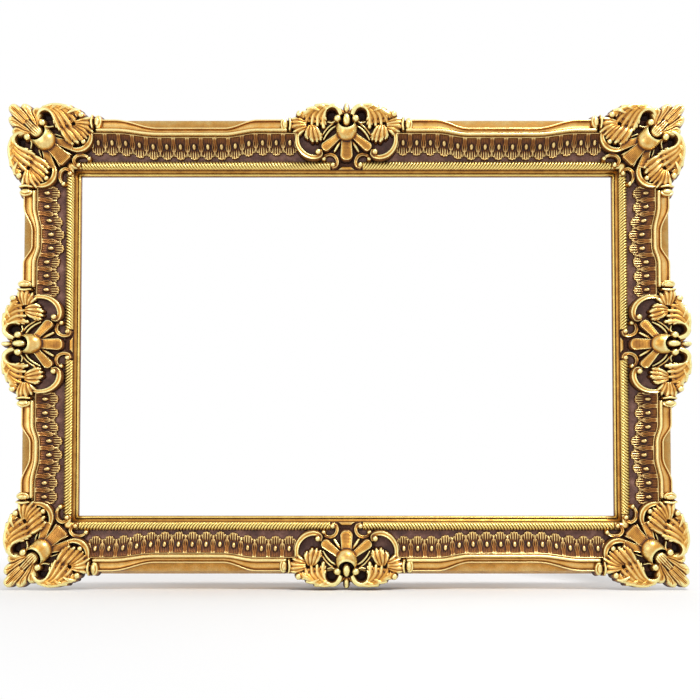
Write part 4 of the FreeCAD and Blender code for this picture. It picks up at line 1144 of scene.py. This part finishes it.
def rail_material(name, upright):
    """Rail: mauve ground in the recess, bronzed gold outside it, bare wood behind."""
    material, tree, shader = new_material(name)
    texture = node(tree, "ShaderNodeTexCoord")
    place, facing = texture.outputs["Object"], texture.outputs["Normal"]
    x, y, z = node(tree, "ShaderNodeSeparateXYZ", [(0, place)]).outputs
    past_x = maths(tree, "SUBTRACT", maths(tree, "ABSOLUTE", x), half_width * MM)
    past_z = maths(tree, "SUBTRACT", maths(tree, "ABSOLUTE", z), half_height * MM)
    distance = maths(tree, "MAXIMUM", past_x, past_z)
    stretch = (45.0, 45.0, 2.5) if upright else (2.5, 45.0, 45.0)
    along = node(tree, "ShaderNodeMapping", [("Vector", place), ("Scale", stretch)]).outputs[0]
    grain = noise(tree, along, 4.0, 8.0, ("Distortion", 0.6))
    wood = ramp(tree, grain, [
        (0.30, srgb(0.47, 0.31, 0.17)), (0.48, srgb(0.66, 0.48, 0.29)), (0.66, srgb(0.76, 0.60, 0.40)),
    ])
    cloud = noise(tree, place, 42.0, 6.0, ("Roughness", 0.65))
    mauve = ramp(tree, cloud, [
        (0.32, srgb(0.26, 0.13, 0.10)), (0.50, srgb(0.42, 0.27, 0.22)), (0.68, srgb(0.60, 0.44, 0.38)),
    ])
    gold = ramp(tree, cloud, [
        (0.30, srgb(0.72, 0.53, 0.25)), (0.50, srgb(0.84, 0.65, 0.33)), (0.70, srgb(0.92, 0.77, 0.46)),
    ])
    outside = step_above(tree, distance, (plateau_inner - 1.5) * MM, 1.5 * MM)
    front = mixed(tree, outside, mauve, gold)
    facing_y = node(tree, "ShaderNodeSeparateXYZ", [(0, facing)]).outputs[1]
    behind = step_above(tree, facing_y, 0.4, 0.2)
    bare_to = (rebate_depth + 0.4) * MM
    at_back = step_above(tree, y, -bare_to, 0.3 * MM)
    past_rebate = step_above(tree, distance, bare_to, 0.3 * MM)
    in_rebate = maths(tree, "MULTIPLY", at_back, maths(tree, "SUBTRACT", 1.0, past_rebate))
    bare = maths(tree, "MAXIMUM", behind, in_rebate)
    tree.links.new(mixed(tree, bare, front, wood), shader.inputs["Base Color"])
    covered = maths(tree, "SUBTRACT", 1.0, bare)
    metallic = maths(tree, "MULTIPLY", maths(tree, "MULTIPLY", covered, outside), 0.35)
    tree.links.new(metallic, shader.inputs["Metallic"])
    tree.links.new(maths(tree, "MULTIPLY_ADD", covered, -0.22, 0.68), shader.inputs["Roughness"])
    tree.links.new(bump(tree, grain, 0.35, 0.0004), shader.inputs["Normal"])
    return material


rail_level = rail_material("rail_level", False)
rail_upright = rail_material("rail_upright", True)
steel = plain_material("zinc_steel", srgb(0.72, 0.72, 0.70), 0.32, 1.0, 1400.0, 0.08, 0.00005)
brass = plain_material("satin_brass", srgb(0.80, 0.65, 0.36), 0.30, 1.0, 1400.0, 0.08, 0.00005)
blued = plain_material("blued_steel", srgb(0.25, 0.27, 0.30), 0.4, 1.0, 1400.0, 0.10, 0.00005)
felt = plain_material("felt", srgb(0.16, 0.15, 0.15), 0.95, 0.0, 900.0, 0.4, 0.0002)

for name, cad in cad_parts.items():
    finish = steel
    if name in ("rail_left", "rail_right"):
        finish = rail_upright
    elif name.startswith("rail_"):
        finish = rail_level
    elif name.startswith("turn_button") and "screws" not in name:
        finish = brass
    elif name == "mitre_v_nails":
        finish = blued
    elif name == "wall_bumpers":
        finish = felt
    for socket in cad.material_slots:
        socket.material = finish
    if finish in (steel, brass):
        bevel = cad.modifiers.new("worn_edge", "BEVEL")
        bevel.width = 0.00025
        bevel.segments = 2
        bevel.angle_limit = math.radians(50)


# Pieces

run_names = {
    "top": ("left", "right"), "bottom": ("right", "left"),
    "right": ("upper", "lower"), "left": ("lower", "upper"),
}

corner = corner_field()
corner_distance = np.maximum(corner.x, corner.y)
below_crest = corner.h < gadroon_seat + gadroon_height + 0.1
on_elbow = (corner_distance < gadroon_end) & below_crest
# Painted highlight on the gadroon's elbow, and painted shade on low ornament
corner_mesh = relief_mesh(
    "corner", corner, casting_floor(corner_distance),
    shade_tone=np.where(on_elbow, elbow_highlight_tone, casting_shade_tone(corner.h)),
    step_at=lambda x, y: float(casting_floor(np.array(max(x, y)))),
)
for name in corner_turns:
    place = corner_place(name)
    show("corner_cartouche_" + name, corner_mesh, place, casting_gold)

for sides, half, (across, out), shares, units, rib_pitch in (
    (("top", "bottom"), half_width, long_casting, long_sweep_shares, 15, 5.19),
    (("left", "right"), half_height, short_casting, short_sweep_shares, 8, 5.02),
):
    centre = centre_field(across, out)
    # Painted shade on low ornament
    centre_mesh = relief_mesh(
        "centre", centre, casting_floor(centre.y), shade_tone=casting_shade_tone(centre.h),
        step_at=lambda x, y: float(casting_floor(np.array(y))),
    )
    runs = {
        "swept_rail": (swept_mesh("swept", half, across, shares), rail_gold, "gilded_rail"),
        "leaf_frieze": (
            frieze_mesh("frieze", half, across, shares, units), frieze_gold, "gilded_frieze"
        ),
        "gadroon": (gadroon_mesh("gadroon", half, across, rib_pitch), gadroon_gold, "gilded_gadroon"),
    }
    slip = slip_mesh("slip", half)
    for side in sides:
        place = side_place(side, False)
        show("centre_cartouche_" + side, centre_mesh, place, casting_gold)
        show("sight_slip_" + side, slip, place, slip_gold)
        before, after = run_names[side]
        for kind, (mesh, material, slot) in runs.items():
            for which, mirrored in ((after, False), (before, True)):
                place = side_place(side, mirrored)
                show(f"{kind}_{side}_{which}", mesh, place, material)


# Stage, light and camera

def seen_or_mirrored(tree):
    """1 for rays of the camera and of mirrors, and the node that tells rays apart."""
    rays = node(tree, "ShaderNodeLightPath")
    direct = rays.outputs["Is Camera Ray"], rays.outputs["Is Glossy Ray"]
    return maths(tree, "MAXIMUM", *direct), rays


def stage_material():
    """Pale floor that keeps the frame's shadow and fades to white away from it."""
    material, tree, shader = new_material("pale_floor")
    out = next(n for n in tree.nodes if n.type == "OUTPUT_MATERIAL")
    shader.inputs["Base Color"].default_value = (0.9, 0.9, 0.9, 1)
    shader.inputs["Roughness"].default_value = 0.9
    place = [(0, object_place(tree))]
    away = node(tree, "ShaderNodeVectorMath", place, operation="LENGTH").outputs["Value"]
    fade = ramp(tree, away, [(0.25, 0.0), (0.85, 1.0)])
    amount = maths(tree, "MULTIPLY", seen_or_mirrored(tree)[0], fade)
    white = node(tree, "ShaderNodeEmission", [("Color", (1, 1, 1, 1)), ("Strength", 1.0)])
    parts = [(0, amount), (1, shader.outputs[0]), (2, white.outputs[0])]
    tree.links.new(node(tree, "ShaderNodeMixShader", parts).outputs[0], out.inputs[0])
    return material


floor_size = 12.0
floor_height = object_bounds()[0].z - 0.0005
bpy.ops.mesh.primitive_plane_add(size=1.0, location=(0, 0, floor_height))
floor = bpy.context.object
floor.name = "floor"
floor.data.transform(Matrix.Scale(floor_size, 4))
floor.data.materials.append(stage_material())

world = bpy.data.worlds.new("studio")
bpy.context.scene.world = world
world.use_nodes = True
tree = world.node_tree
background = next(n for n in tree.nodes if n.type == "BACKGROUND")
direct, rays = seen_or_mirrored(tree)
direct = maths(tree, "MAXIMUM", direct, rays.outputs["Is Transmission Ray"])
background.inputs["Color"].default_value = (1, 1, 1, 1)
strength = maths(tree, "MULTIPLY_ADD", direct, 0.6, 0.4)
tree.links.new(strength, background.inputs["Strength"])


def lamp(name, place, side, power):
    """A square lamp that points at the middle of the frame."""
    data = bpy.data.lights.new(name, "AREA")
    data.shape = "RECTANGLE"
    data.size = data.size_y = side
    data.energy = power
    made = bpy.data.objects.new(name, data)
    made.location = place
    made.rotation_euler = (-Vector(place)).to_track_quat("-Z", "Y").to_euler()
    bpy.context.scene.collection.objects.link(made)


lamp("key", (0.9, -1.0, 2.0), 0.7, 46.0)
lamp("fill", (-1.6, -1.8, 0.2), 1.4, 10.0)
lamp("back", (0.6, 1.9, 1.4), 1.4, 12.0)

camera_data = bpy.data.cameras.new("camera")
camera_data.lens = 54.5
camera_data.sensor_width = 36.0
camera_data.shift_x = 0.005
camera_data.shift_y = 0.0795
camera = bpy.data.objects.new("camera", camera_data)
camera.location = (0.0, -1.808, -0.165)
camera.rotation_euler = (math.radians(92.0), 0.0, 0.0)
bpy.context.scene.collection.objects.link(camera)
bpy.context.scene.camera = camera
bpy.context.scene.view_settings.view_transform = "Standard"
